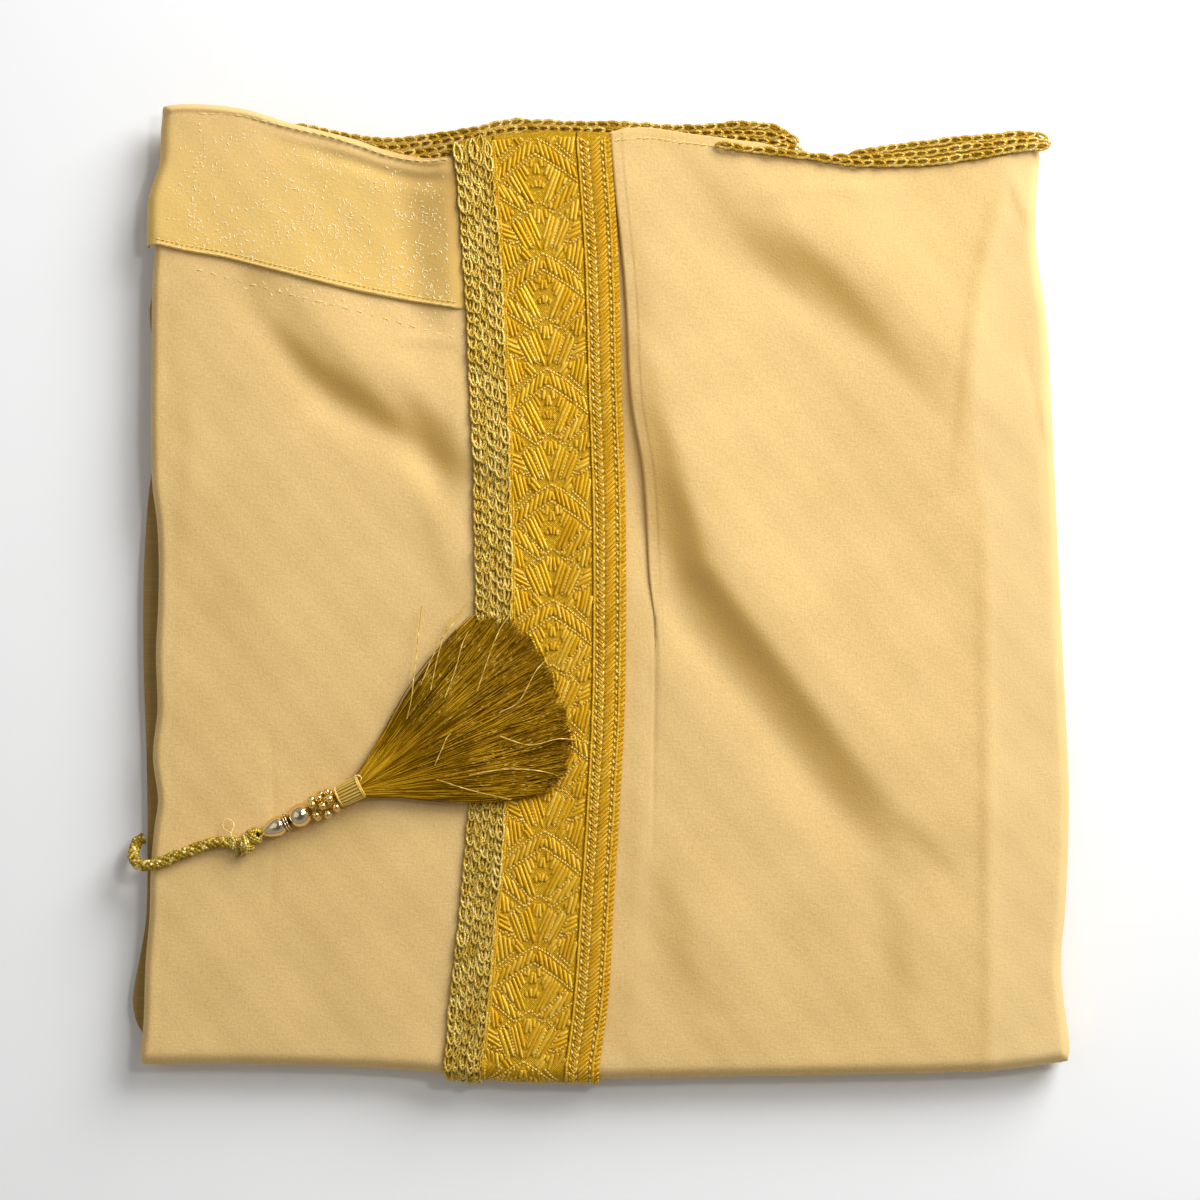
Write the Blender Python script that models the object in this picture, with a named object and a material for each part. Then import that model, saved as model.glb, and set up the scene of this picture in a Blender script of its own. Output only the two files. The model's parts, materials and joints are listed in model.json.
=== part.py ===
"""A bisht cloak folded into a near-square packet and laid flat.

The packet lies on the floor at Z = 0, with its neck edge toward +Y and the zari band running
along Y, left of the middle. All sizes below are in millimetres, and MM turns them into metres.
The folded inner layers are one solid. The cloth that shows, the zari and the braids are walls
that lie on one another, all worked out from one height function and a few edge curves.
"""
import math

import bmesh
import bpy
import numpy as np

MM = 0.001

# Heights of the stack
TOP = 16.5  # upper face of the plain cloth, where no fold lifts it
WALL = 1.2  # thickness of a cloth wall
GAP = 0.3  # clearance between pieces that touch
TRIM = GAP + 1.5  # upper face of what is sewn or laid on the cloth, above TOP
BRAID_RISE = 0.5  # the chain rows of a braid stand this much higher
TUCK_RISE = 1.8  # height of the tuck beside the band
CORE_TOP = 14.1
CORE_LAYERS = 6
PEEK_LAYERS = 3  # lower layers that come out past the left front
CREASE = 0.9  # depth of the crease between two layers

# How the cloth turns down at its edges: how far in it starts, how far it drops, and how far
# round it goes. An angle of 90 degrees ends with the wall upright.
SIDE_DROP = 8.2
LEFT_TURN = {"inset": 4.0, "drop": SIDE_DROP, "angle": 90.0}
RIGHT_TURN = {"inset": 5.0, "drop": SIDE_DROP, "angle": 120.0}
BOTTOM_TURN = {"inset": 6.0, "drop": SIDE_DROP, "angle": 145.0}
ROLL_TURN = {"inset": 2.0, "drop": 2.2, "angle": 80.0}
BAND_TURN = {"inset": 6.0, "drop": SIDE_DROP, "angle": 125.0}
SQUARE_CORNER = 0.6  # 0 gives a round corner, 1 a square one

# Outlines of the packet. Each row is (y, x) for a side edge and (x, y) for a top or bottom edge.
LEFT_EDGE = (
    (-178, -177.1), (-167, -175.5), (-139, -174.4), (-124, -173.1), (-102, -172.3), (-88, -171.0),
    (-78, -169.7), (-61, -171.7), (-43, -169.9), (-22, -170.5), (0, -169.5), (26, -169.9),
    (46, -172.1), (100, -172.2), (122, -171.8), (136, -170.6), (155, -169.0), (172, -166.4),
    (186, -165.6),
)
RIGHT_EDGE = (
    (-178, 179.9), (-171, 180.2), (-152, 177.7), (-138, 177.1), (-119, 178.7), (-77, 180.2),
    (-43, 178.7), (12, 176.2), (75, 173.3), (106, 171.4), (135, 167.4), (152, 167.5), (168, 168.9),
)
BOTTOM_EDGE = (
    (-175, -180.0), (-131, -179.9), (-95, -180.9), (-76, -181.8), (-62, -183.0), (-48, -184.3),
    (-25, -185.4), (-4, -185.5), (23, -185.0), (145, -182.7), (162, -181.0), (178, -178.8),
)
FRONT_TOP = ((4, 176.6), (9, 178.0), (17, 178.8), (34, 176.5), (54, 173.8), (63, 172.6),
             (70, 169.8), (77, 166.4), (88, 164.9), (101, 163.2), (125, 163.6), (149, 167.0),
             (162, 169.4), (169, 169.6))
FLAP_LEFT = ((110, -173.7), (150, -173.7), (158, -171.8), (166, -169.2), (178, -168.6),
             (187, -167.6))
FLAP_TOP = ((-168, 187.0), (-160, 187.9), (-148, 187.6), (-135, 185.9), (-119, 181.0),
            (-95, 174.9), (-83, 170.9), (-71, 168.1), (-64, 167.4), (-56, 168.6))
FLAP_BOTTOM = ((-174, 135.2), (-159, 131.6), (-143, 128.8), (-127, 124.7), (-95, 116.7),
               (-79, 113.5), (-55, 109.5))
FLAP_COVER = 4.6  # the left front ends this far inside the top roll of the flap
FLAP_END = -64.0  # x where the flap runs in below the band
FLAP_END_SLOPE = 0.2  # rise of the left front's hidden top edge from there on
BAND_COVER = 8.0  # and this far below the band's top end
FRONT_TO_BACK = (-175.0, 172.0)  # y of the packet's lower and upper edge, before their curves

# The zari band's edges, and how its width is shared out across
BAND_LEFT = (
    (-187, -60.5), (-154, -57.2), (-124, -54.2), (-93, -51.1), (-70, -49.6), (-9, -47.7),
    (14, -47.7), (56, -48.8), (98, -50.7), (132, -52.6), (170, -56.0),
)
BAND_RIGHT = (
    (-187, -1.6), (-154, 3.1), (-116, 5.3), (-78, 7.6), (-40, 9.5), (14, 9.9), (44, 9.5),
    (75, 8.4), (132, 6.9), (174, 4.0),
)
BAND_TOP = ((-57, 170.6), (-50, 173.4), (-36, 175.4), (-20, 176.3), (4, 176.0))
BRAID_SHARE = (0.0, 0.245)
BROCADE_SHARE = (0.251, 0.778)
BORDER_SHARE = (0.784, 1.0)
BRAID_ROWS = 5  # rows of chain across a braid
SEAM_SHARE = 0.5  # the two fronts meet below the middle of the band

# The tuck: how far its folded edge lies from the band, and how much of its rise is left
TUCK_GAP = ((-178, 12.5), (-40, 12.0), (14, 9.6), (48, 7.9), (75, 4.4), (113, 3.3), (150, 1.4),
            (176, 1.0))
TUCK_FADE = ((-178, 0.0), (-100, 0.0), (-60, 0.12), (-10, 0.45), (40, 1.0), (176, 1.0))
TUCK_RUN = 1.6
TUCK_SPREAD = 3.0  # the rise is gone at one part in this many of the way to the right edge

# The largest folds. A fold is a crest along three points. It falls off over near_width on the
# side toward lower left and over far_width on the other side.
FOLD_COLUMNS = ("x0", "y0", "x1", "y1", "x2", "y2", "near_width", "far_width", "rise")
FOLDS = (
    (22, 96, 44, 14, 114, -78, 13, 30, 4.4),
    (57, 151, 92, 129, 132, 84, 14, 22, 3.6),
    (31, -93, 38, -128, 44, -160, 12, 22, 1.5),
    (114, -108, 120, -130, 122, -160, 10, 16, 0.9),
    (-122, 110, -104, 91, -60, 62, 10, 20, 2.9),
    (-150, 70, -130, 20, -135, -60, 22, 26, 1.0),
    (-96, -20, -84, -60, -88, -150, 18, 24, 0.8),
)

# Inner layers: (x, y) of the neck side, and (y, x) of the lower layers at the left
CORE_BACK = (
    (-166, 184.0), (-150, 185.0), (-135, 183.0), (-119, 178.8), (-107, 175.6), (-95, 172.2),
    (-83, 169.5), (-64, 171.0), (-50, 175.5), (-33, 179.0), (5, 178.6), (29, 177.6), (54, 178.0),
    (66, 175.0), (72, 170.0), (78, 164.2), (88, 163.2), (101, 161.6), (125, 161.9), (149, 165.2),
    (166, 167.6),
)
CORE_PEEK = (
    (-176, -171.0), (-172, -173.2), (-166, -177.9), (-158, -180.0), (-152, -179.8),
    (-138, -177.2), (-124, -175.0),
    (-97, -174.5), (-62, -175.0), (-27, -176.2), (8, -176.2), (39, -174.3), (60, -171.5),
    (90, -171.8), (111, -173.8), (121, -171.0), (150, -169.5), (186, -165.0),
)
CORE_MARGIN = WALL + 1.6  # the layers stay this far inside the panels that turn down over them
CORE_POINTS = {"right": 14, "back": 18, "left": 20, "front": 12}  # along each side of a ring
CORE_CORNER = 0.012  # corner radius, as a share of the side
LEFT_CROWDING = 1.4
CORE_BACK_STEP = 12.0  # the top layer stops this far short, and the neck braid lies there
# One layer's section: share of its height, and whether it is drawn in there
LAYER_PROFILE = ((0.0, True), (0.3, False), (0.75, False))

# Braids at the neck: x, upper edge, lower edge
NECK_BRAID = (
    (-118, 180.6, 176.0), (-107, 178.8, 171.4), (-95, 176.4, 167.6), (-83, 174.9, 165.4),
    (-72, 175.4, 165.8), (-60, 177.2, 167.4), (-48, 179.3, 169.6), (-33, 181.9, 172.2),
    (-14, 181.7, 172.0), (5, 181.1, 171.4), (24, 180.0, 170.3), (37, 180.2, 170.2),
    (50, 181.2, 170.6), (62, 180.8, 169.8), (70, 178.5, 168.4), (74.6, 175.0, 168.2),
)
NECK_BRAID_Z = (12.1, 13.7)
# x, lower edge as seen from above, upper edge as seen, and drop of the upper edge
RIGHT_BRAID = (
    (46, 171.0, 172.3, 0.0), (57, 168.9, 171.0, 0.0), (66, 167.8, 170.2, 0.2),
    (76, 166.7, 169.2, 0.6), (87, 165.2, 167.9, 1.0), (94, 164.2, 168.6, 1.6),
    (101, 163.5, 170.2, 2.2), (109, 163.2, 172.0, 2.6), (125, 163.7, 174.2, 3.0),
    (133, 164.7, 175.3, 3.0), (149, 167.1, 176.7, 3.0), (160, 169.2, 177.4, 3.0),
    (166, 169.9, 177.2, 3.0), (169.6, 170.2, 174.6, 2.0),
)
RIGHT_BRAID_WALL = 1.5

# The neck cord, from between the layers at the left edge to its knot: x, y, z of its middle
CORD_DIAMETER = 4.6
CORD_STEP = 2.0
CORD_ROUTE = (
    (-176.1, -93.4, 4.7), (-177.8, -94.1, 5.6), (-178.8, -97.2, 9.6), (-178.4, -100.2, 13.6),
    (-175.8, -102.3, 17.2), (-171.2, -102.4, 18.9), (-165.0, -100.4, 19.3), (-158.6, -97.8, 19.3),
    (-151.6, -95.2, 19.3), (-145.5, -93.6, 19.4), (-141.2, -94.0, 19.6),
)

# The beads lie on one straight line that rises gently from the knot to the tassel
BEAD_START = (-128.7, -90.4)  # tip of the teardrop
BEAD_HEIGHTS = (4.6, 6.5)  # of the line above the cloth, at the tip and at the tassel's head
BEAD_ANGLE = math.radians(25.6)
TEARDROP_LENGTH = 9.6
TEARDROP_RADIUS = 3.4
RINGS_LENGTH = 1.9
BALL_RADIUS = 4.4
CLUSTER_LENGTH = 10.6
CLUSTER_RADIUS = 5.3
CLUSTER_RINGS = 4
CLUSTER_BEADS = 7  # in each ring
CAP_LENGTH = 10.6
CAP_RADII = (3.4, 4.3, 4.5)
CAP_FLUTES = 14
KNOT_START = (-140.1, -94.2)

# Tassel
HEAD_LENGTH = 1.6
HEAD_WIDTH = 7.4
HEAD_HEIGHT = 6.4
LOCK_COLUMNS = 23
LOCK_ROWS = 4
LOCK_ROOT_INSET = 0.12
LOCK_SEGMENTS = 3
FAN_FROM = math.radians(-1.0)  # direction of the lowest lock, seen from above
FAN_TO = math.radians(56.0)
# Length of the locks across the fan, from its lower to its upper side
FAN_LENGTH = ((0.0, 68.0), (0.12, 79.0), (0.4, 82.0), (0.75, 84.0), (0.92, 80.0), (1.0, 75.0))
FAN_CLEAR = 0.6
FAN_ROW_STEP = 1.5
LOCK_THICKNESS = 0.9
LOCK_FILL = 0.62  # share of its own column that a lock fills
BAND_APPROACH = 30.0  # the locks start to rise this far before the band
BAND_CLIMB = 12.0  # and have risen to its height over this distance

SHARE_ACROSS = np.linspace(0.0, 1.0, 5)


def smooth(rows, at):
    """Reads a table of (position, value) rows along a smooth curve through them."""
    places = [row[0] for row in rows]
    values = [row[1] for row in rows]
    at = min(max(at, places[0]), places[-1])
    last = len(rows) - 2
    index = min(max(int(np.searchsorted(places, at)) - 1, 0), last)
    slopes = []
    for k in (index, index + 1):
        low = max(k - 1, 0)
        high = min(k + 1, last + 1)
        slopes.append((values[high] - values[low]) / (places[high] - places[low]))
    width = places[index + 1] - places[index]
    t = (at - places[index]) / width
    bend = t * t * (3 - 2 * t)
    start = t * (1 - t) * (1 - t) * width * slopes[0]
    end = t * t * (t - 1) * width * slopes[1]
    return values[index] * (1 - bend) + values[index + 1] * bend + start + end


def mix(a, b, share):
    return a + (b - a) * share


def crest_distance(fold, x, y):
    """Distance from a fold's crest, its sign telling the side, and the place along it."""
    points = [(fold["x0"], fold["y0"]), (fold["x1"], fold["y1"]), (fold["x2"], fold["y2"])]
    best = None
    for step in range(2):
        ax, ay = points[step]
        bx, by = points[step + 1]
        dx, dy = bx - ax, by - ay
        along = ((x - ax) * dx + (y - ay) * dy) / (dx * dx + dy * dy)
        held = min(max(along, 0.0), 1.0)
        away = math.hypot(x - ax - held * dx, y - ay - held * dy)
        side = (x - ax) * dy - (y - ay) * dx
        if best is None or away < abs(best[0]):
            best = (math.copysign(away, side), (step + held) / 2)
    return best


def cloth_height(x, y):
    """Height of the plain cloth's upper face, with its largest folds."""
    height = TOP
    for row in FOLDS:
        fold = dict(zip(FOLD_COLUMNS, row))
        away, place = crest_distance(fold, x, y)
        width = fold["far_width"] if away < 0 else fold["near_width"]
        fade = 0.35 + 0.65 * math.sin(math.pi * place)
        height += fold["rise"] * fade * math.exp(-((away / width) ** 2))
    return height


def tuck_place(y):
    """x of the tuck's folded edge."""
    return smooth(BAND_RIGHT, y) + smooth(TUCK_GAP, y)


def seam_place(y):
    """x where the two fronts meet, below the band."""
    return mix(smooth(BAND_LEFT, y), smooth(BAND_RIGHT, y), SEAM_SHARE)


def turned_point(base, column, row, turns, offset):
    """Carries a point over the turned-down edges of a sheet.

    base is the plan point where the turning starts. column and row hold how much of the turn is
    made toward the side and toward the top or bottom, each with the sign of its direction.
    """
    x, y = base
    turn_x, turn_y = turns
    a, b = abs(column), abs(row)
    made = max(a, b)
    if made == 0:
        return (x, y, cloth_height(x, y) + offset)
    share = b * b / (a * a + b * b)
    from_x = turn_x or turn_y
    from_y = turn_y or turn_x
    drop = mix(from_x["drop"], from_y["drop"], share)
    angle = math.radians(mix(from_x["angle"], from_y["angle"], share)) * made
    reach = math.hypot(a, b)
    out_x, out_y = a / reach, b / reach
    stretch = max(out_x, out_y) ** SQUARE_CORNER
    x += math.copysign((from_x["inset"] + offset) * math.sin(angle) * out_x / stretch, column)
    y += math.copysign((from_y["inset"] + offset) * math.sin(angle) * out_y / stretch, row)
    z = cloth_height(*base) - drop + (drop + offset) * math.cos(angle)
    return (x, y, z)


def sheet_stations(count, low_turn, high_turn, steps=4):
    """Places across a sheet: the share of the way, and how much of a turn is made there."""
    stations = []
    if low_turn:
        stations += [(0.0, -(steps - k) / steps) for k in range(steps)]
    stations += [(k / count, 0.0) for k in range(count + 1)]
    if high_turn:
        stations += [(1.0, (k + 1) / steps) for k in range(steps)]
    return stations


def lay_sheet(sheet, columns, rows, offset):
    """Grid of points of one face of a sheet, columns first, at an offset from the cloth."""
    left, right, bottom, top = sheet["left"], sheet["right"], sheet["bottom"], sheet["top"]
    turn = sheet["turns"]
    inset = {side: (turn[side]["inset"] if turn.get(side) else 0.0)
             for side in ("left", "right", "bottom", "top")}
    grid = []
    for share_x, turned_x in columns:
        line = []
        for share_y, turned_y in rows:
            y = mix(*FRONT_TO_BACK, share_y)
            for _ in range(2):
                low_x = left(y) + inset["left"]
                high_x = right(y) - inset["right"]
                x = sheet["across"](share_x, low_x, high_x, y)
                y = mix(bottom(x) + inset["bottom"], top(x) - inset["top"], share_y)
            turns = (
                turn.get("left" if turned_x < 0 else "right") if turned_x else None,
                turn.get("bottom" if turned_y < 0 else "top") if turned_y else None,
            )
            point = turned_point((x, y), turned_x, turned_y, turns, offset)
            rise = sheet["rise"](point[0], point[1], share_x) if offset > sheet["inner"] else 0.0
            line.append((point[0], point[1], point[2] + rise))
        grid.append(line)
    return grid


def plain_across(share, low, high, y):
    return mix(low, high, share)


def no_rise(x, y, share):
    return 0.0


def close_wall(name, outer, inner, material):
    """Builds one closed solid between two grids of the same size."""
    wide, deep = len(outer), len(outer[0])
    points = [p for line in outer for p in line] + [p for line in inner for p in line]
    under = wide * deep

    def at(i, j, level=0):
        return i * deep + j + level * under

    faces = []
    for i in range(wide - 1):
        for j in range(deep - 1):
            faces.append((at(i, j), at(i + 1, j), at(i + 1, j + 1), at(i, j + 1)))
            faces.append((at(i, j, 1), at(i, j + 1, 1), at(i + 1, j + 1, 1), at(i + 1, j, 1)))
    for i in range(wide - 1):
        for j, order in ((0, 1), (deep - 1, -1)):
            face = (at(i, j), at(i, j, 1), at(i + 1, j, 1), at(i + 1, j))
            faces.append(face[::order])
    for j in range(deep - 1):
        for i, order in ((0, -1), (wide - 1, 1)):
            face = (at(i, j), at(i, j, 1), at(i, j + 1, 1), at(i, j + 1))
            faces.append(face[::order])
    return add_mesh(name, points, faces, material)


def add_mesh(name, points, faces, material):
    """Makes an object from points in millimetres, its faces turned to point out."""
    mesh = bpy.data.meshes.new(name)
    mesh.from_pydata([(x * MM, y * MM, z * MM) for x, y, z in points], [], faces)
    work = bmesh.new()
    work.from_mesh(mesh)
    face_outward(work)
    work.to_mesh(mesh)
    work.free()
    return add_object(name, mesh, material)


def face_outward(work):
    bmesh.ops.recalc_face_normals(work, faces=work.faces)
    if work.calc_volume(signed=True) < 0:
        bmesh.ops.reverse_faces(work, faces=work.faces)


def add_object(name, data, material):
    item = bpy.data.objects.new(name, data)
    item.data.materials.append(material)
    collection.objects.link(item)
    if isinstance(data, bpy.types.Mesh):
        data.shade_smooth()
        data.set_sharp_from_angle(angle=math.radians(40))
    return item


def add_material(name, colour, roughness, metallic=0.0):
    material = bpy.data.materials.new(name)
    material.use_nodes = True
    shader = material.node_tree.nodes["Principled BSDF"]
    shader.inputs["Base Color"].default_value = (*colour, 1.0)
    shader.inputs["Roughness"].default_value = roughness
    shader.inputs["Metallic"].default_value = metallic
    return material


def left_front_top(x):
    """The left front ends inside the rolled neck facing, and further right below the band."""
    if x <= FLAP_END:
        return smooth(FLAP_TOP, x) - FLAP_COVER
    beside = smooth(FLAP_TOP, FLAP_END) - FLAP_COVER + (x - FLAP_END) * FLAP_END_SLOPE
    return min(beside, smooth(BAND_TOP, x) - BAND_COVER)


def build_left_front(material):
    """Plain cloth left of the band. It turns down at the left and at the lower edge."""
    sheet = {
        "left": lambda y: smooth(LEFT_EDGE, y),
        "right": lambda y: seam_place(y) - GAP / 2,
        "bottom": lambda x: smooth(BOTTOM_EDGE, x),
        "top": left_front_top,
        "turns": {"left": LEFT_TURN, "bottom": BOTTOM_TURN},
        "across": plain_across, "rise": no_rise, "inner": -WALL,
    }
    columns = sheet_stations(13, True, False)
    rows = sheet_stations(20, True, False)
    outer = lay_sheet(sheet, columns, rows, 0.0)
    inner = lay_sheet(sheet, columns, rows, -WALL)
    close_wall("left_front", outer, inner, material)


def build_neck_band_reverse(material):
    """Neck facing folded down over the left front, rolled at the top."""
    sheet = {
        "left": lambda y: smooth(FLAP_LEFT, y) + TRIM,
        "right": lambda y: smooth(BAND_LEFT, y) - GAP,
        "bottom": lambda x: smooth(FLAP_BOTTOM, x),
        "top": lambda x: smooth(FLAP_TOP, x) - TRIM,
        "turns": {"left": LEFT_TURN, "top": ROLL_TURN},
        "across": plain_across, "rise": no_rise, "inner": GAP,
    }
    columns = sheet_stations(11, True, False)
    rows = sheet_stations(6, False, True)
    outer = lay_sheet(sheet, columns, rows, TRIM)
    inner = lay_sheet(sheet, columns, rows, GAP)
    close_wall("neck_band_reverse", outer, inner, material)


def tuck_across(share, low, high, y):
    """Shares from 0 to 1 lead to the tuck's edge, from 1 to 2 over it, from 2 to 3 past it."""
    edge = tuck_place(y)
    stops = (low, edge, edge + TUCK_RUN, high)
    part = min(int(share * 3), 2)
    return mix(stops[part], stops[part + 1], share * 3 - part)


def tuck_rise(x, y, share):
    step = min(max(share * 3 - 1, 0.0), 1.0)
    past = min(max(share * 3 - 2, 0.0), 1.0)
    return TUCK_RISE * smooth(TUCK_FADE, y) * step * (1 - min(past * TUCK_SPREAD, 1.0)) ** 1.5


def build_right_front(material):
    """Plain cloth right of the band, with its tuck. It turns down at the right and below."""
    sheet = {
        "left": lambda y: seam_place(y) + GAP / 2,
        "right": lambda y: smooth(RIGHT_EDGE, y),
        "bottom": lambda x: smooth(BOTTOM_EDGE, x),
        "top": lambda x: smooth(FRONT_TOP, x) if x > 4 else smooth(BAND_TOP, x),
        "turns": {"right": RIGHT_TURN, "bottom": BOTTOM_TURN},
        "across": tuck_across, "rise": tuck_rise, "inner": -WALL,
    }
    under_band = [(share / 3, 0.0) for share in (0.0, 0.75, 1.0, 2.0)]
    past_tuck = [((2 + ((k + 1) / 15) ** 1.2) / 3, 0.0) for k in range(15)]
    turned = [(1.0, (k + 1) / 4) for k in range(4)]
    columns = under_band + past_tuck + turned
    rows = sheet_stations(20, True, False)
    outer = lay_sheet(sheet, columns, rows, 0.0)
    inner = lay_sheet(sheet, columns, rows, -WALL)
    close_wall("right_front", outer, inner, material)


def band_sheet(shares):
    """A strip of the band between two shares of its width."""
    def edge(share):
        return lambda y: mix(smooth(BAND_LEFT, y), smooth(BAND_RIGHT, y), share)

    return {
        "left": edge(shares[0]), "right": edge(shares[1]),
        "bottom": lambda x: smooth(BOTTOM_EDGE, x),
        "top": lambda x: smooth(BAND_TOP, x),
        "turns": {"bottom": BAND_TURN},
        "across": plain_across, "rise": no_rise, "inner": GAP,
    }


def build_band_strip(name, shares, columns, row_count, profile, material):
    """A strip of the band. profile gives its extra height at each share of its own width."""
    sheet = band_sheet(shares)
    rows = sheet_stations(row_count, True, False)
    inner = lay_sheet(sheet, columns, rows, GAP)
    outer = []
    for column in columns:
        outer += lay_sheet(sheet, [column], rows, TRIM + profile(column[0]))
    close_wall(name, outer, inner, material)


def ridged(rows):
    """Profile of a braid: one round ridge for each row of chain."""
    return lambda share: BRAID_RISE * (1 - abs(math.cos(math.pi * rows * share)))


def border_profile(share):
    """Profile of the border: a raised line near each edge and a herringbone rib between."""
    lines = sum(math.exp(-(((share - place) / 0.07) ** 2)) for place in (0.14, 0.55, 0.86))
    return 0.4 * lines


def build_band(zari, braid):
    ridges = [(k / (2 * BRAID_ROWS), 0.0) for k in range(2 * BRAID_ROWS + 1)]
    build_band_strip("front_chain_braid", BRAID_SHARE, ridges, 16, ridged(BRAID_ROWS), braid)
    flat = [(share, 0.0) for share in SHARE_ACROSS]
    build_band_strip("front_band", BROCADE_SHARE, flat, 16, lambda share: 0.0, zari)
    lines = [(share, 0.0) for share in (0.0, 0.14, 0.32, 0.55, 0.72, 0.86, 1.0)]
    build_band_strip("band_border", BORDER_SHARE, lines, 16, border_profile, zari)


def core_outline(level_z, crease, upper, top_layer):
    """One ring of the folded inner layers: points round a softly cornered square."""
    middle = TOP - SIDE_DROP
    lean = min(abs(level_z - middle) / SIDE_DROP, 1.0)
    roundness = 1 - math.sqrt(max(1 - lean * lean, 0.0))
    inset = CREASE if crease else 0.0
    ring = []
    for u, v in square_round(CORE_POINTS, CORE_CORNER):
        y = mix(*FRONT_TO_BACK, v)
        for _ in range(2):
            rounded = smooth(LEFT_EDGE, y) + CORE_MARGIN + LEFT_TURN["inset"] * roundness
            low_x = rounded if upper else smooth(CORE_PEEK, y)
            high_x = smooth(RIGHT_EDGE, y) - CORE_MARGIN - RIGHT_TURN["inset"] * roundness
            x = mix(low_x + inset, high_x - inset, u)
            low_y = smooth(BOTTOM_EDGE, x) + CORE_MARGIN + BOTTOM_TURN["inset"] * roundness
            high_y = smooth(CORE_BACK, x) - (CORE_BACK_STEP if top_layer else 0.0)
            y = mix(low_y + inset, high_y - inset, v)
        ring.append((x, y, level_z))
    return ring


def square_round(side_points, radius):
    """Points round a unit square with small round corners, counter-clockwise.

    On the left side they lie closer together toward the front, where the layers bulge out.
    """
    points = []
    corners = {
        "right": (1 - radius, radius, -90), "back": (1 - radius, 1 - radius, 0),
        "left": (radius, 1 - radius, 90), "front": (radius, radius, 180),
    }
    order = list(corners)
    for side, (cx, cy, start) in corners.items():
        for step in range(3):
            angle = math.radians(start + step * 45)
            points.append((cx + radius * math.cos(angle), cy + radius * math.sin(angle)))
        next_x, next_y, next_start = corners[order[(order.index(side) + 1) % 4]]
        angle = math.radians(next_start)
        target = (next_x + radius * math.cos(angle), next_y + radius * math.sin(angle))
        origin = points[-1]
        for step in range(1, side_points[side]):
            share = step / side_points[side]
            if side == "left":
                share = 1 - (1 - share) ** LEFT_CROWDING
            points.append((mix(origin[0], target[0], share), mix(origin[1], target[1], share)))
    return points


def build_folded_layers(material):
    """The hidden folds as one solid: a stack of rounded layers with creases between them."""
    layer = CORE_TOP / CORE_LAYERS
    rings = []
    for index in range(CORE_LAYERS):
        upper = index >= PEEK_LAYERS
        top_layer = index == CORE_LAYERS - 1
        for share, crease in LAYER_PROFILE:
            level = (index + share) * layer
            rings.append(core_outline(level, crease, upper, top_layer))
    rings.append(core_outline(CORE_TOP, True, True, True))
    count = len(rings[0])
    points = [point for ring in rings for point in ring]
    faces = [tuple(reversed(range(count)))]
    faces.append(tuple(range((len(rings) - 1) * count, len(rings) * count)))
    for r in range(len(rings) - 1):
        for k in range(count):
            after = (k + 1) % count
            faces.append((r * count + k, r * count + after, (r + 1) * count + after,
                          (r + 1) * count + k))
    add_mesh("folded_layers", points, faces, material)


def strip_columns(table, across, rows):
    """Cross-sections of a braid lying along X: points over its width, for both faces."""
    outer, inner = [], []
    for row in table:
        upper_line, lower_line = [], []
        for step in range(across + 1):
            share = step / across
            y, top_z, wall = rows(row, share)
            upper_line.append((row[0], y, top_z))
            lower_line.append((row[0], y, top_z - wall))
        outer.append(upper_line)
        inner.append(lower_line)
    return outer, inner


def build_neck_braid(material):
    low, high = NECK_BRAID_Z
    ridge = ridged(3)

    def across(row, share):
        rise = ridge(share)
        return mix(row[2], row[1], share), high + rise, high - low + rise

    outer, inner = strip_columns(NECK_BRAID, 6, across)
    close_wall("neck_braid", outer, inner, material)


def build_right_braid(material):
    ridge = ridged(3)

    def across(row, share):
        y = mix(row[1], row[2], share)
        rise = ridge(share)
        seat = right_seat(row[0], row[1]) - row[3] * share
        return y, seat + RIGHT_BRAID_WALL + rise, RIGHT_BRAID_WALL + rise

    outer, inner = strip_columns(RIGHT_BRAID, 6, across)
    close_wall("right_braid", outer, inner, material)


def right_seat(x, y):
    """Height of the right front's upper face with its tuck, plus the gap above it."""
    past = tuck_place(y) + TUCK_RUN
    share = (2 + (x - past) / (smooth(RIGHT_EDGE, y) - RIGHT_TURN["inset"] - past)) / 3
    return cloth_height(x, y) + tuck_rise(x, y, share) + 2 * GAP


def curve_points(route, step):
    """Evenly spaced points along a smooth curve through a route's own points."""
    route = [np.array(p, float) for p in route]
    places = [0.0]
    for a, b in zip(route, route[1:]):
        places.append(places[-1] + float(np.linalg.norm(b - a)))
    tables = [[(place, p[axis]) for place, p in zip(places, route)] for axis in range(3)]
    count = round(places[-1] / step)
    return [tuple(smooth(rows, places[-1] * k / count) for rows in tables)
            for k in range(count + 1)]


def build_cord(material):
    points = curve_points(CORD_ROUTE, CORD_STEP)
    curve = bpy.data.curves.new("cord", "CURVE")
    curve.dimensions = "3D"
    curve.bevel_depth = CORD_DIAMETER / 2 * MM
    curve.bevel_resolution = 2
    curve.use_fill_caps = True
    spline = curve.splines.new("POLY")
    spline.points.add(len(points) - 1)
    for place, point in zip(spline.points, points):
        place.co = (point[0] * MM, point[1] * MM, point[2] * MM, 1.0)
    add_object("cord", curve, material)


def bead_frame():
    """Start of the bead line, its direction, and the two directions across it."""
    tip_z = cloth_height(*BEAD_START) + BEAD_HEIGHTS[0]
    length = (TEARDROP_LENGTH + RINGS_LENGTH + 2 * BALL_RADIUS + CLUSTER_LENGTH + CAP_LENGTH
              + 4 * GAP)
    climb = math.atan2(BEAD_HEIGHTS[1] - BEAD_HEIGHTS[0], length)
    along = np.array((math.cos(BEAD_ANGLE) * math.cos(climb), math.sin(BEAD_ANGLE) * math.cos(climb),
                      math.sin(climb)))
    side = np.array((-math.sin(BEAD_ANGLE), math.cos(BEAD_ANGLE), 0.0))
    return np.array((*BEAD_START, tip_z)), along, side, np.cross(along, side)


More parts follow.
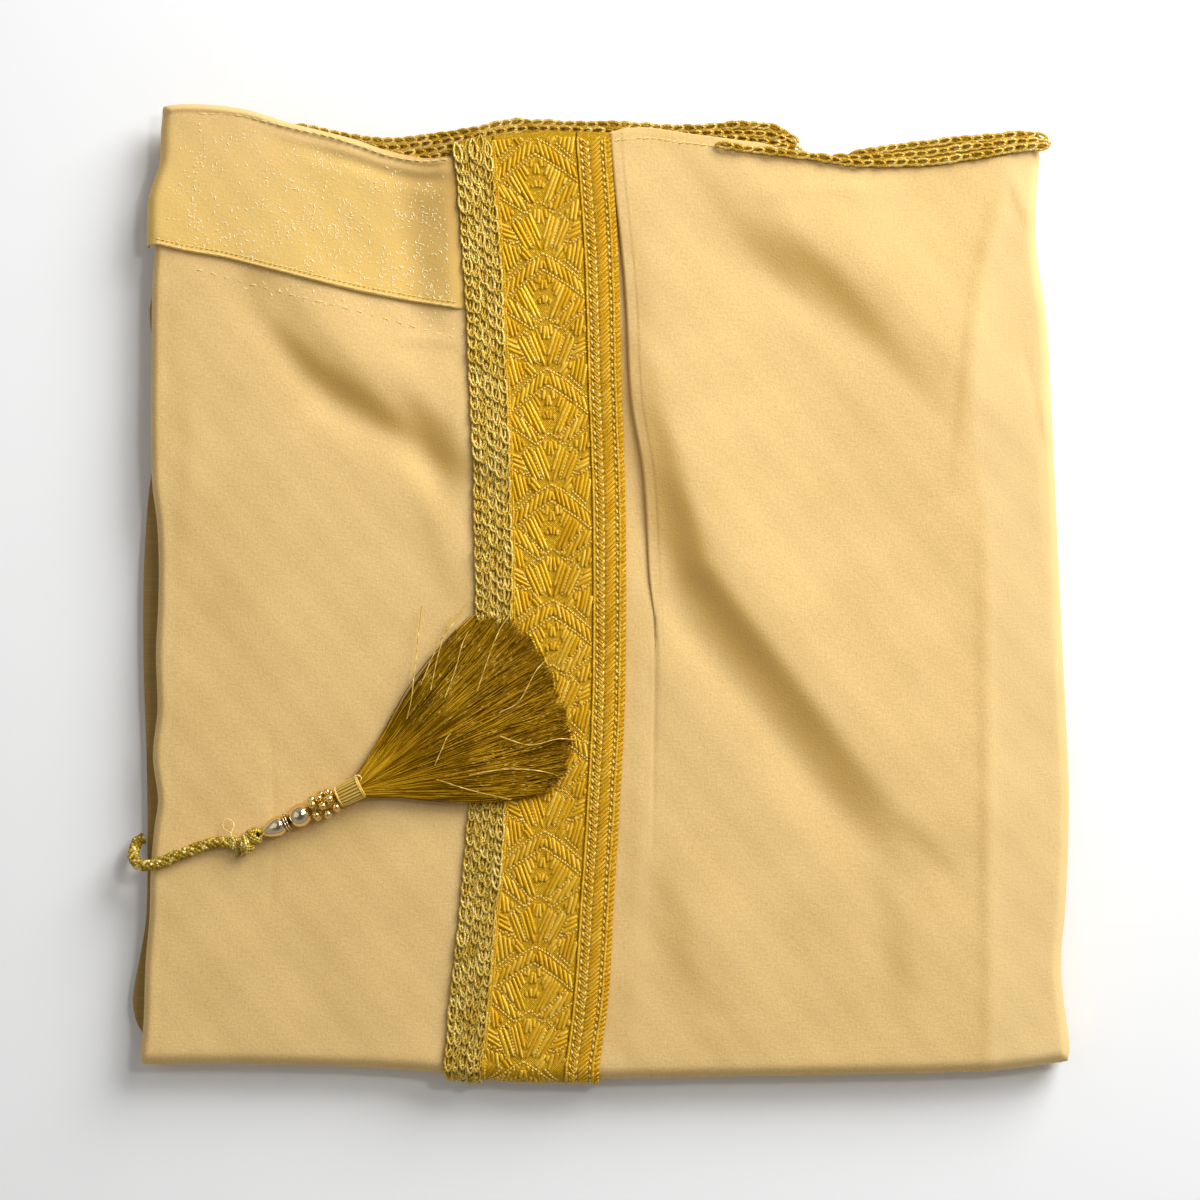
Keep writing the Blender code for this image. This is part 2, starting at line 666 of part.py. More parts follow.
def turned_body(name, start, along, side, up, profile, sides, swell, material):
    """A body round the bead line: profile rows are (distance, radius), swell shapes its girth."""
    points, faces = [], []
    for distance, radius in profile:
        for k in range(sides):
            angle = math.tau * k / sides
            reach = radius * swell(distance, angle)
            place = start + along * distance
            place = place + (side * math.cos(angle) + up * math.sin(angle)) * reach
            points.append(tuple(place))
    for r in range(len(profile) - 1):
        for k in range(sides):
            after = (k + 1) % sides
            faces.append((r * sides + k, r * sides + after, (r + 1) * sides + after,
                          (r + 1) * sides + k))
    faces.append(tuple(reversed(range(sides))))
    faces.append(tuple(range((len(profile) - 1) * sides, len(profile) * sides)))
    add_mesh(name, points, faces, material)


def round_profile(length, radius, steps, end_radius=0.6):
    """Profile of a ball or an oval, with a small flat at each end."""
    first = math.asin(min(end_radius / radius, 0.9))
    rows = []
    for k in range(steps + 1):
        angle = mix(first, math.pi - first, k / steps)
        place = (1 - math.cos(angle) / math.cos(first)) / 2
        rows.append((place * length, radius * math.sin(angle)))
    return rows


def even(distance, angle):
    return 1.0


def build_beads(metal, knot_material):
    """The knot, the beads and the cap, one after another along the bead line."""
    start, along, side, up = bead_frame()
    knot_start = np.array((*KNOT_START, CORD_ROUTE[-1][2]))
    knot_end = start - along * GAP
    knot_along = knot_end - knot_start
    knot_reach = float(np.linalg.norm(knot_along))
    knot_along = knot_along / knot_reach
    knot_side = np.cross((0.0, 0.0, 1.0), knot_along)
    knot_side = knot_side / np.linalg.norm(knot_side)
    knot_up = np.cross(knot_along, knot_side)
    shape = ((0.0, 1.6), (0.1, 2.7), (0.26, 3.4), (0.42, 3.1), (0.55, 3.3), (0.7, 2.3),
             (0.85, 1.9), (0.95, 1.4), (1.0, 0.7))
    profile = [(share * knot_reach, radius) for share, radius in shape]

    def lobes(distance, angle):
        return 1 + 0.13 * math.cos(3 * angle + 0.9 * distance)

    turned_body("cord_knot", knot_start, knot_along, knot_side, knot_up, profile, 12, lobes,
                knot_material)

    teardrop = [(share * TEARDROP_LENGTH, TEARDROP_RADIUS * width) for share, width in (
        (0.0, 0.18), (0.12, 0.42), (0.3, 0.7), (0.5, 0.9), (0.7, 1.0), (0.88, 0.97), (1.0, 0.8))]
    turned_body("teardrop_bead", start, along, side, up, teardrop, 14, even, metal)
    place = TEARDROP_LENGTH + GAP

    rings = [(share * RINGS_LENGTH, radius) for share, radius in (
        (0.0, 2.2), (0.12, 3.1), (0.36, 3.1), (0.5, 2.4), (0.64, 2.9), (0.88, 2.9), (1.0, 2.0))]
    turned_body("bead_rings", start + along * place, along, side, up, rings, 14, even, metal)
    place += RINGS_LENGTH + GAP

    ball = round_profile(2 * BALL_RADIUS, BALL_RADIUS, 7, end_radius=1.2)
    turned_body("ball_bead", start + along * place, along, side, up, ball, 14, even, metal)
    place += 2 * BALL_RADIUS + GAP

    pitch = CLUSTER_LENGTH / CLUSTER_RINGS
    cluster = []
    for ring in range(CLUSTER_RINGS):
        for share, radius in ((0.02, 0.74), (0.3, 0.97), (0.7, 0.97)):
            cluster.append(((ring + share) * pitch, CLUSTER_RADIUS * radius))
    cluster.append((CLUSTER_LENGTH, 0.74 * CLUSTER_RADIUS))

    def beaded(distance, angle):
        ring = int(distance / pitch)
        turn = CLUSTER_BEADS * (angle + math.pi / CLUSTER_BEADS * (ring % 2))
        return 0.9 + 0.1 * math.cos(turn)

    turned_body("bead_cluster", start + along * place, along, side, up, cluster,
                CLUSTER_BEADS * 4, beaded, metal)
    place += CLUSTER_LENGTH + GAP

    cap = [(share * CAP_LENGTH, mix(CAP_RADII[0], CAP_RADII[1], min(share * 6, 1.0)))
           for share in (0.0, 0.08, 0.2)]
    cap += [(0.75 * CAP_LENGTH, CAP_RADII[2]), (CAP_LENGTH, CAP_RADII[2] * 0.95)]

    def fluted(distance, angle):
        return 0.965 + 0.035 * math.cos(CAP_FLUTES * angle)

    turned_body("tassel_cap", start + along * place, along, side, up, cap, CAP_FLUTES * 2, fluted,
                metal)
    return start + along * (place + CAP_LENGTH + GAP), along, side, up


def fan_floor(x, y):
    """Height that a lock must stay above: the cloth, or the band where that lies below."""
    left = smooth(BAND_LEFT, y)
    over = min(max((x - left + BAND_APPROACH) / BAND_CLIMB, 0.0), 1.0)
    return cloth_height(x, y) + (TRIM + BRAID_RISE) * over


def build_tassel(material, start, along, side, up):
    """The tassel's head is a small block. Each cell of its end face grows into one lock."""
    work = bmesh.new()
    bmesh.ops.create_grid(work, x_segments=LOCK_COLUMNS, y_segments=LOCK_ROWS, size=0.5)
    cells = list(work.faces)
    for vert in work.verts:
        across, over = vert.co.x, vert.co.y
        place = start - side * across * HEAD_WIDTH + up * over * HEAD_HEIGHT
        vert.co = place * MM
    back = bmesh.ops.extrude_face_region(work, geom=cells)
    moved = [item for item in back["geom"] if isinstance(item, bmesh.types.BMVert)]
    bmesh.ops.translate(work, verts=moved, vec=along * HEAD_LENGTH * MM)
    front = [item for item in back["geom"] if isinstance(item, bmesh.types.BMFace)]
    # Each lock's place in the fan: across it from its lower side, and over the head's height
    tips = {}
    for face in front:
        local = (np.array(face.calc_center_median()) / MM) - start
        across = float(np.dot(local, side)) / HEAD_WIDTH + 0.5
        over = float(np.dot(local, up)) / HEAD_HEIGHT + 0.5
        tips[face] = (across, over)
    bmesh.ops.inset_individual(work, faces=front, thickness=LOCK_ROOT_INSET / 2 * MM)
    fan = FAN_TO - FAN_FROM
    for segment in range(1, LOCK_SEGMENTS + 1):
        grown = {}
        for face, (across, over) in tips.items():
            fresh = bmesh.ops.extrude_discrete_faces(work, faces=[face])["faces"][0]
            row = int(over * LOCK_ROWS)
            column = across + (row % 2 - 0.5) / LOCK_COLUMNS / 2
            heading = FAN_FROM + fan * column
            reach = smooth(FAN_LENGTH, across) * (1 - 0.03 * (row % 3)) * segment / LOCK_SEGMENTS
            out = np.array((math.cos(heading), math.sin(heading), 0.0))
            origin = start + along * HEAD_LENGTH + side * (across - 0.5) * HEAD_WIDTH
            place = origin + out * reach
            clear = fan_floor(place[0], place[1]) + FAN_CLEAR + LOCK_THICKNESS / 2
            settle = min(segment / 2, 1.0)
            resting = clear + row * FAN_ROW_STEP
            rooted = start[2] + along[2] * HEAD_LENGTH + (over - 0.5) * HEAD_HEIGHT
            z = mix(rooted, resting, settle)
            width = reach * fan / LOCK_COLUMNS * LOCK_FILL
            set_lock_ring(fresh, (place[0], place[1], z), out, width)
            grown[fresh] = (across, over)
        tips = grown
    mesh = bpy.data.meshes.new("tassel")
    face_outward(work)
    work.to_mesh(mesh)
    work.free()
    add_object("tassel", mesh, material)


def set_lock_ring(face, place, out, width):
    """Moves a lock's four end points to a flat lozenge across its own direction."""
    sideways = np.array((-out[1], out[0], 0.0))
    middle = np.array(face.calc_center_median())
    for vert in face.verts:
        local = np.array(vert.co) - middle
        across = math.copysign(width / 2, float(np.dot(local, sideways)))
        over = math.copysign(LOCK_THICKNESS / 2, local[2])
        vert.co = (np.array(place) + sideways * across + np.array((0, 0, over))) * MM


for old in list(bpy.data.objects):
    bpy.data.objects.remove(old, do_unlink=True)
collection = bpy.data.collections.new("folded_bisht")
bpy.context.scene.collection.children.link(collection)

plain_cloth = add_material("plain_cloth", (0.76, 0.55, 0.27), 0.75)
inner_cloth = add_material("inner_cloth", (0.40, 0.27, 0.12), 0.8)
facing_cloth = add_material("facing_cloth", (0.80, 0.58, 0.22), 0.6, 0.2)
zari_gold = add_material("zari_gold", (0.70, 0.40, 0.03), 0.35, 0.8)
braid_gold = add_material("braid_gold", (0.74, 0.55, 0.18), 0.4, 0.8)
thread_gold = add_material("thread_gold", (0.33, 0.18, 0.01), 0.45, 0.6)
bead_metal = add_material("bead_metal", (0.75, 0.58, 0.33), 0.2, 1.0)

build_folded_layers(inner_cloth)
build_left_front(plain_cloth)
build_neck_band_reverse(facing_cloth)
build_right_front(plain_cloth)
build_band(zari_gold, braid_gold)
build_neck_braid(braid_gold)
build_right_braid(braid_gold)
build_cord(thread_gold)
head_start, line, line_side, line_up = build_beads(bead_metal, thread_gold)
build_tassel(thread_gold, head_start, line, line_side, line_up)
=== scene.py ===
# %% [markdown]
# A bisht is a light cloak with gold work along its front and its neck. This one lies folded into a
# flat packet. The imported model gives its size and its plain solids, and this lesson dresses them:
# thin cloth with soft folds, chain braid made of real loops, satin-stitched leaves, and a neck cord
# that ends in beads and a tassel of loose threads.
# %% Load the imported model
import json
import math

import bmesh
import bpy
import numpy as np
from mathutils import Vector
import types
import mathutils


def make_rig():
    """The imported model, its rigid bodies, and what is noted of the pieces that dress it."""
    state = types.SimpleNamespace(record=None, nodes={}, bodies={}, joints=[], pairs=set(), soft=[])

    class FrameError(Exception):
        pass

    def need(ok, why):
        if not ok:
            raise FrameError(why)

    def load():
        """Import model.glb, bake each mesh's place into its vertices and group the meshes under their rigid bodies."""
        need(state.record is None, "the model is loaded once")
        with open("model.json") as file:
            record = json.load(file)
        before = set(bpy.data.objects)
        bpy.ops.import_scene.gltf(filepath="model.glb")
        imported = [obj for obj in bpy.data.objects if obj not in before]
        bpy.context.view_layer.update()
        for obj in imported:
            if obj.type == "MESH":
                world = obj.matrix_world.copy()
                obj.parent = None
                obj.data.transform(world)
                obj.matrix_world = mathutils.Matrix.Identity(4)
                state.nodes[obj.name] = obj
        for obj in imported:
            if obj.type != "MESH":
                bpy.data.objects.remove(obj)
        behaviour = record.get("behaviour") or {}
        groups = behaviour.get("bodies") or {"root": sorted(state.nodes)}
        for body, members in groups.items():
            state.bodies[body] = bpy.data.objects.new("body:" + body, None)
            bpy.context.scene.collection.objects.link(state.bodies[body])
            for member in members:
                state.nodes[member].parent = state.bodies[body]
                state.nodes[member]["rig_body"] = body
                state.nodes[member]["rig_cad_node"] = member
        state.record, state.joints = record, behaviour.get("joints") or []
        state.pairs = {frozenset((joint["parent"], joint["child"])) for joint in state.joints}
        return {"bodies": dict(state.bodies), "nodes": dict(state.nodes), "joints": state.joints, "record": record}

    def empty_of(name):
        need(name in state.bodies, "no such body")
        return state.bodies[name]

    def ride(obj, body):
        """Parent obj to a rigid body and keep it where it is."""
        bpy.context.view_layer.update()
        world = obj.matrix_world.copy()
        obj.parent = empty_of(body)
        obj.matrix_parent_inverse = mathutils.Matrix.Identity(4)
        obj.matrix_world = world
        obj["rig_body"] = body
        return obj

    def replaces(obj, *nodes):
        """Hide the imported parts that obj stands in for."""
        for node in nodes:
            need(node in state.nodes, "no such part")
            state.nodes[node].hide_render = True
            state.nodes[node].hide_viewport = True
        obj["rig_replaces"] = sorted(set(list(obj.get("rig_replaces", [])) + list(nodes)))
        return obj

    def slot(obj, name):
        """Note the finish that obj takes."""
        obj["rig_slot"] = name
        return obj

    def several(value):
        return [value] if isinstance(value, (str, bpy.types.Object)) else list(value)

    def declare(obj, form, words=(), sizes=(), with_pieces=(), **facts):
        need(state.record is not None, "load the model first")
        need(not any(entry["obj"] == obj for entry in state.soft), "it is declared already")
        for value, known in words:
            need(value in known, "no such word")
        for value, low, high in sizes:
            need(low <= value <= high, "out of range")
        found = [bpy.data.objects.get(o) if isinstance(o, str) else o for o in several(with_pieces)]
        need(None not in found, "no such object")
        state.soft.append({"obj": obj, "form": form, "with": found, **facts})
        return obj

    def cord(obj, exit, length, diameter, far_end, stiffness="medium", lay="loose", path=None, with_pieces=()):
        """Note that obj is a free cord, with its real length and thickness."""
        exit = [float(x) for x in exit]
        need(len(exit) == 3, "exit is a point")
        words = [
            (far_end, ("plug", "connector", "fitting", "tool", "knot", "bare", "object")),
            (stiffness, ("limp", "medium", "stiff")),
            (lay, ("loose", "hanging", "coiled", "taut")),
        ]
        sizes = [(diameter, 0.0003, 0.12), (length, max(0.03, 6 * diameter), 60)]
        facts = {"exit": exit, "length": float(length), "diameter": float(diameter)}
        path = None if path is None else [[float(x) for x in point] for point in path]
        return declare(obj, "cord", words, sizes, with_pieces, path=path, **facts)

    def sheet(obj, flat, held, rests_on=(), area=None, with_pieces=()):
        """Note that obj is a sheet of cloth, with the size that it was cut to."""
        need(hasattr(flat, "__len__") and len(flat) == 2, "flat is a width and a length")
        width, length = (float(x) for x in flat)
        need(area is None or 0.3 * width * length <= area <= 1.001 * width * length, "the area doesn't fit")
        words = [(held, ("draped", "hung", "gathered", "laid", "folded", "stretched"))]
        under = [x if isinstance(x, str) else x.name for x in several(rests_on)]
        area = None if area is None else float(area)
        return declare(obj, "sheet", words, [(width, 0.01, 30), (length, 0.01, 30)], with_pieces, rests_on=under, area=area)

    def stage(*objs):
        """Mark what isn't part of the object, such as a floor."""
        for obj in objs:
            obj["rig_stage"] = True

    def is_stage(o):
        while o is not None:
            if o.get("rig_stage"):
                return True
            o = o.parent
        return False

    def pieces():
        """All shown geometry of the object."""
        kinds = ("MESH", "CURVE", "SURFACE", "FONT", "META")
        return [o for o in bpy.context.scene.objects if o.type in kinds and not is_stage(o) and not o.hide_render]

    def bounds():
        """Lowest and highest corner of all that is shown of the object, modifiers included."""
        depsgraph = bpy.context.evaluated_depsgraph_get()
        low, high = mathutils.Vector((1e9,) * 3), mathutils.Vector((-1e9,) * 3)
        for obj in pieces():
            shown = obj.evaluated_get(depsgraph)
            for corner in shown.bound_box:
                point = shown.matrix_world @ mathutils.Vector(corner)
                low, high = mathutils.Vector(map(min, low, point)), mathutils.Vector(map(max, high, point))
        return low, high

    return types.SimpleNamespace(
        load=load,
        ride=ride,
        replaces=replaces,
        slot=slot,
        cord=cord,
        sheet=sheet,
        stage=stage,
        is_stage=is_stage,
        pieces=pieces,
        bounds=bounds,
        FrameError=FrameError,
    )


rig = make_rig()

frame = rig.load()
cad_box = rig.bounds()
MM = 0.001
scene = bpy.context.scene


def put_in_scene(name, data):
    """An object for a mesh, lamp or camera."""
    thing = bpy.data.objects.new(name, data)
    scene.collection.objects.link(thing)
    return thing


print("packed nodes:", sorted(frame["nodes"]))

# %% [markdown]
# The photograph was taken from straight above, so the camera looks down. A long lens keeps the
# sides of the packet out of sight. We know how wide the picture is at the height of the cloth, so
# the camera's height follows from the lens: distance = width of view * focal length / sensor width.
# %% Camera
PICTURE_WIDTH = 457.6  # mm of cloth across the picture
PICTURE_MIDDLE = (0.0, -1.5)
CLOTH_LEVEL = 17.0
LENS = 85.0
SENSOR = 36.0

camera = put_in_scene("camera", bpy.data.cameras.new("camera"))
camera.data.lens = LENS
camera.data.sensor_width = SENSOR
camera.data.clip_end = 20.0
camera_height = CLOTH_LEVEL + PICTURE_WIDTH * LENS / SENSOR
camera.location = (PICTURE_MIDDLE[0] * MM, PICTURE_MIDDLE[1] * MM, camera_height * MM)
scene.camera = camera
print("camera height, m:", round(camera_height * MM, 3))

# %% [markdown]
# Cloth shows its folds only when one side gets more light than the other. The key light comes from
# the upper right, low enough to graze the cloth. It is large, so the shadows stay soft. A pale sky
# fills the rest. It is dark right overhead, where a photographer leans over the table, because the
# polished beads mirror it. The Standard view shows cloth colours as they are. The default one is
# made for bright scenes and would turn this gold grey.
# %% Lights and floor
KEY = {"name": "key", "place": (0.85, 0.95, 0.80), "size": 0.95, "power": 30.0}
FILL = {"name": "fill", "place": (-0.9, 0.2, 1.3), "size": 1.2, "power": 2.5}
SPARK = {"name": "spark", "place": (0.42, 0.30, 1.1), "size": 0.14, "power": 2.2}
SKY_TINT = (1.0, 0.965, 0.91)
SKY_BANDS = ((0.0, 0.5), (0.35, 1.0), (0.62, 0.85), (0.88, 0.28))  # height of a band, brightness
SKY_STRENGTH = 0.36
FLOOR_TINT = (0.915, 0.925, 0.935)
FLOOR_ROUGHNESS = 0.9
FLOOR_REACH = 2.0


def add_light(spec):
    light = bpy.data.lights.new(spec["name"], "AREA")
    light.size = spec["size"]
    light.energy = spec["power"]
    lamp = put_in_scene(spec["name"], light)
    lamp.location = spec["place"]
    lamp.rotation_euler = Vector(spec["place"]).to_track_quat("Z", "Y").to_euler()


for spec in (KEY, FILL, SPARK):
    add_light(spec)
world = bpy.data.worlds.new("studio")
world.use_nodes = True
sky_nodes = world.node_tree.nodes
direction = sky_nodes.new("ShaderNodeTexCoord")
parts = sky_nodes.new("ShaderNodeSeparateXYZ")
ramp = sky_nodes.new("ShaderNodeValToRGB")
elements = ramp.color_ramp.elements
elements[0].position = SKY_BANDS[0][0]
elements[1].position = SKY_BANDS[-1][0]
for height, brightness in SKY_BANDS[1:-1]:
    elements.new(height)
for element, (height, brightness) in zip(elements, SKY_BANDS):
    element.color = (*(brightness * tint for tint in SKY_TINT), 1.0)
world.node_tree.links.new(direction.outputs["Generated"], parts.inputs[0])
world.node_tree.links.new(parts.outputs["Z"], ramp.inputs[0])
world.node_tree.links.new(ramp.outputs[0], sky_nodes["Background"].inputs["Color"])
sky_nodes["Background"].inputs["Strength"].default_value = SKY_STRENGTH
scene.world = world
scene.view_settings.view_transform = "Standard"

floor_mesh = bpy.data.meshes.new("floor")
corners = [(x * FLOOR_REACH, y * FLOOR_REACH, 0) for x, y in ((-1, -1), (1, -1), (1, 1), (-1, 1))]
floor_mesh.from_pydata(corners, [], [(0, 1, 2, 3)])
floor = put_in_scene("floor", floor_mesh)
floor_finish = bpy.data.materials.new("pale_floor")
floor_finish.use_nodes = True
floor_shader = floor_finish.node_tree.nodes["Principled BSDF"]
floor_shader.inputs["Base Color"].default_value = (*FLOOR_TINT, 1.0)
floor_shader.inputs["Roughness"].default_value = FLOOR_ROUGHNESS
floor_mesh.materials.append(floor_finish)
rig.stage(floor)

# %% [markdown]
# The cloth's shape is worked out, not sculpted. Short tables hold the packet's edges as the model
# has them: each row is a place and a value, in millimetres, and a smooth curve runs through the
# rows. `read_table` works on whole arrays at once, so a sheet of 30,000 points is laid in a moment.
# %% Tables of the packet's edges
TOP = 16.5
GAP = 0.3
SIDE_DROP = 8.2
SQUARE_CORNER = 0.6
LEFT_TURN = {"inset": 4.0, "drop": SIDE_DROP, "angle": 100.0}
RIGHT_TURN = {"inset": 5.0, "drop": SIDE_DROP, "angle": 120.0}
BOTTOM_TURN = {"inset": 6.0, "drop": SIDE_DROP, "angle": 145.0}
ROLL_TURN = {"inset": 2.0, "drop": 2.2, "angle": 80.0}
BAND_TURN = {"inset": 6.0, "drop": SIDE_DROP, "angle": 125.0}
HEM_TURN = {"inset": 0.6, "drop": 0.6, "angle": 150.0}
FRONT_TO_BACK = (-175.0, 172.0)

LEFT_EDGE = (
    (-178, -177.1), (-167, -175.5), (-139, -174.4), (-124, -173.1), (-102, -172.3), (-88, -171.0),
    (-78, -169.7), (-61, -171.7), (-43, -169.9), (-22, -170.5), (0, -169.5), (26, -169.9),
    (46, -172.1), (100, -172.2), (122, -171.8), (136, -170.6), (155, -169.0), (172, -166.4),
    (186, -165.6),
)
RIGHT_EDGE = (
    (-178, 179.9), (-171, 180.2), (-152, 177.7), (-138, 177.1), (-119, 178.7), (-77, 180.2),
    (-43, 178.7), (12, 176.2), (75, 173.3), (106, 171.4), (135, 167.4), (152, 167.5), (168, 168.9),
)
BOTTOM_EDGE = (
    (-175, -180.0), (-131, -179.9), (-95, -180.9), (-76, -181.8), (-62, -183.0), (-48, -184.3),
    (-25, -185.4), (-4, -185.5), (23, -185.0), (145, -182.7), (162, -181.0), (178, -178.8),
)
FRONT_TOP = (
    (4, 176.6), (9, 178.0), (17, 178.8), (34, 176.5), (54, 173.8), (63, 172.6), (70, 169.8),
    (77, 166.4), (88, 164.9), (101, 163.2), (125, 163.6), (149, 167.0), (162, 169.4), (169, 169.6),
)
FLAP_LEFT = ((110, -173.7), (150, -173.7), (158, -171.8), (166, -169.2), (178, -168.6),
             (187, -167.6))
FLAP_TOP = ((-168, 187.0), (-160, 187.9), (-148, 187.6), (-135, 185.9), (-119, 181.0),
            (-95, 174.9), (-83, 170.9), (-71, 168.1), (-64, 167.4), (-56, 168.6))
FLAP_BOTTOM = ((-174, 135.2), (-159, 131.6), (-143, 128.8), (-127, 124.7), (-95, 116.7),
               (-79, 113.5), (-55, 109.5))
BAND_LEFT = (
    (-187, -60.5), (-154, -57.2), (-124, -54.2), (-93, -51.1), (-70, -49.6), (-9, -47.7),
    (14, -47.7), (56, -48.8), (98, -50.7), (132, -52.6), (170, -56.0),
)
BAND_RIGHT = (
    (-187, -1.6), (-154, 3.1), (-116, 5.3), (-78, 7.6), (-40, 9.5), (14, 9.9), (44, 9.5),
    (75, 8.4), (132, 6.9), (174, 4.0),
)
BAND_TOP = ((-57, 170.6), (-50, 173.4), (-36, 175.4), (-20, 176.3), (4, 176.0))
TUCK_GAP = ((-178, 12.5), (-40, 12.0), (14, 9.6), (48, 7.9), (75, 4.4), (113, 3.3), (150, 1.4),
            (176, 1.0))
TUCK_FADE = ((-178, 0.0), (-100, 0.0), (-60, 0.12), (-10, 0.45), (40, 1.0), (176, 1.0))
TUCK_RISE = 1.8
RIGHT_BRAID = (
    (46, 171.0, 172.3, 0.0), (57, 168.9, 171.0, 0.0), (66, 167.8, 170.2, 0.2),
    (76, 166.7, 169.2, 0.6), (87, 165.2, 167.9, 1.0), (94, 164.2, 168.6, 1.6),
    (101, 163.5, 170.2, 2.2), (109, 163.2, 172.0, 2.6), (125, 163.7, 174.2, 3.0),
    (133, 164.7, 175.3, 3.0), (149, 167.1, 176.7, 3.0), (160, 169.2, 177.4, 3.0),
    (166, 169.9, 177.2, 3.0), (169.6, 170.2, 174.6, 2.0),
)  # x, y of the lower edge, y of the upper edge, how far the upper edge sinks


def mix(a, b, share):
    return a + (b - a) * share


def ease(t):
    """A share from 0 to 1 that starts and ends softly."""
    return t * t * (3 - 2 * t)


def ridge(distance, width, rise):
    """A raised line along distance 0, or a pressed one where its rise is negative."""
    return rise * np.exp(-((distance / width) ** 2))


def read_table(rows, at, column=1):
    """Reads one column of a table along a smooth curve through its rows."""
    places = np.array([row[0] for row in rows], float)
    values = np.array([row[column] for row in rows], float)
    at = np.clip(at, places[0], places[-1])
    index = np.clip(np.searchsorted(places, at) - 1, 0, len(rows) - 2)
    low = np.maximum(index - 1, 0)
    high = np.minimum(index + 2, len(rows) - 1)
    slope_in = (values[index + 1] - values[low]) / (places[index + 1] - places[low])
    slope_out = (values[high] - values[index]) / (places[high] - places[index])
    width = places[index + 1] - places[index]
    t = (at - places[index]) / width
    bend = ease(t)
    straight = values[index] * (1 - bend) + values[index + 1] * bend
    return straight + t * (1 - t) ** 2 * width * slope_in + t * t * (t - 1) * width * slope_out


def run_along(path):
    """Distance of each point from the start of its path."""
    return np.concatenate([[0], np.cumsum(np.linalg.norm(np.diff(path, axis=0), axis=-1))])


def curve(rows):
    """A table as a function of place."""
    return lambda at: read_table(rows, at)


def unit(vectors):
    return vectors / np.linalg.norm(vectors, axis=-1)[..., None]


def tuck_place(y):
    """x of the tuck's folded edge."""
    return read_table(BAND_RIGHT, y) + read_table(TUCK_GAP, y)


def seam_place(y):
    """x where the two fronts meet, below the band."""
    return (read_table(BAND_LEFT, y) + read_table(BAND_RIGHT, y)) / 2


print("band is", round(float(read_table(BAND_RIGHT, 14.0) - read_table(BAND_LEFT, 14.0)), 1), "mm")

# %% [markdown]
# Folds are soft. A fold here is a crest along three points that falls off like a bell curve, faster
# on the side toward the lower left, where the cloth has been pushed together. The large ones are the
# model's own. The finer ones after them are troughs, pressed creases and hem lines that only the
# look needs: the same rule, with smaller numbers.
# %% Folds and creases
FOLD_COLUMNS = ("x0", "y0", "x1", "y1", "x2", "y2", "near_width", "far_width", "rise")
FOLDS = (
    (22, 96, 44, 14, 114, -78, 12, 30, 6.6),
    (57, 151, 92, 129, 132, 84, 14, 22, 4.8),
    (31, -93, 38, -128, 44, -160, 12, 22, 2.2),
    (114, -108, 120, -130, 122, -160, 10, 16, 1.4),
    (-122, 110, -104, 91, -52, 56, 9, 20, 5.2),
    (-150, 70, -130, 20, -135, -60, 22, 26, 1.4),
    (-96, -20, -84, -60, -88, -150, 18, 24, 1.2),
)
TROUGHS = (
    (15, 44, 36, -12, 65, -47, 10, 13, -2.3),
    (65, -47, 84, -74, 106, -100, 10, 13, -2.1),
    (50, 132, 90, 108, 122, 82, 10, 13, -1.9),
    (-130, 113, -100, 77, -54, 46, 10, 12, -3.3),
    (106, -116, 110, -150, 112, -172, 9, 9, -0.6),
)
CREASES = (
    (-66, 38, -58, 20, -54, 8, 6, 9, 1.0),
    (-76, 74, -67, 59, -60, 40, 7, 7, -2.3),
    (-53, 84, -52, 60, -53, 38, 7, 7, 1.1),
    (-75, 166, -72, 132, -68, 102, 8, 8, -1.7),
    (-55, 166, -55, 132, -56, 100, 8, 8, 1.0),
    (-77, 97.6, -66, 98, -54, 96.5, 1.4, 2.2, 0.8),
    (-126, -52, -124, -90, -126, -120, 1.3, 1.3, -0.3),
    (-160, 100, -155, 60, -158, 10, 4, 6, 0.4),
    (21, 37, 21, -20, 20, -97, 1.0, 1.0, -0.3),
    (16, -10, 15, -90, 11, -170, 3.0, 5.0, 0.5),
    (146, 22, 147.5, -80, 148, -177, 1.8, 4.0, 0.6),
    (153, 155, 143, 113, 137, 44, 2.2, 6.0, 0.7),
    (160, 103, 168.9, 57.6, 172.4, 2.3, 0.9, 0.9, -0.5),
    (172.4, 2.3, 176.0, -43.5, 176.4, -116, 0.9, 0.9, -0.5),
    (157.9, 160.6, 159.8, 151.4, 165.5, 138.8, 1.2, 2.6, 0.7),
    (58.3, 152.2, 84, 156, 109, 153.7, 3.0, 5.0, 0.6),
    (95, 20, 110, -10, 125, -30, 12, 16, 0.7),
    (60, 80, 66, 50, 76, 20, 10, 14, 0.5),
)
RIPPLES = ((0.021, 0.013, 0.3, 0.16), (-0.012, 0.027, 1.7, 0.14), (0.045, -0.031, 4.1, 0.07),
           (0.061, 0.052, 2.2, 0.05))  # waves per mm along X and Y, phase, height
SIDE_BLEND = 5.0  # mm over which one side of a fold becomes the other
END_SHARE = 0.35  # share of a fold's height that is left at its ends


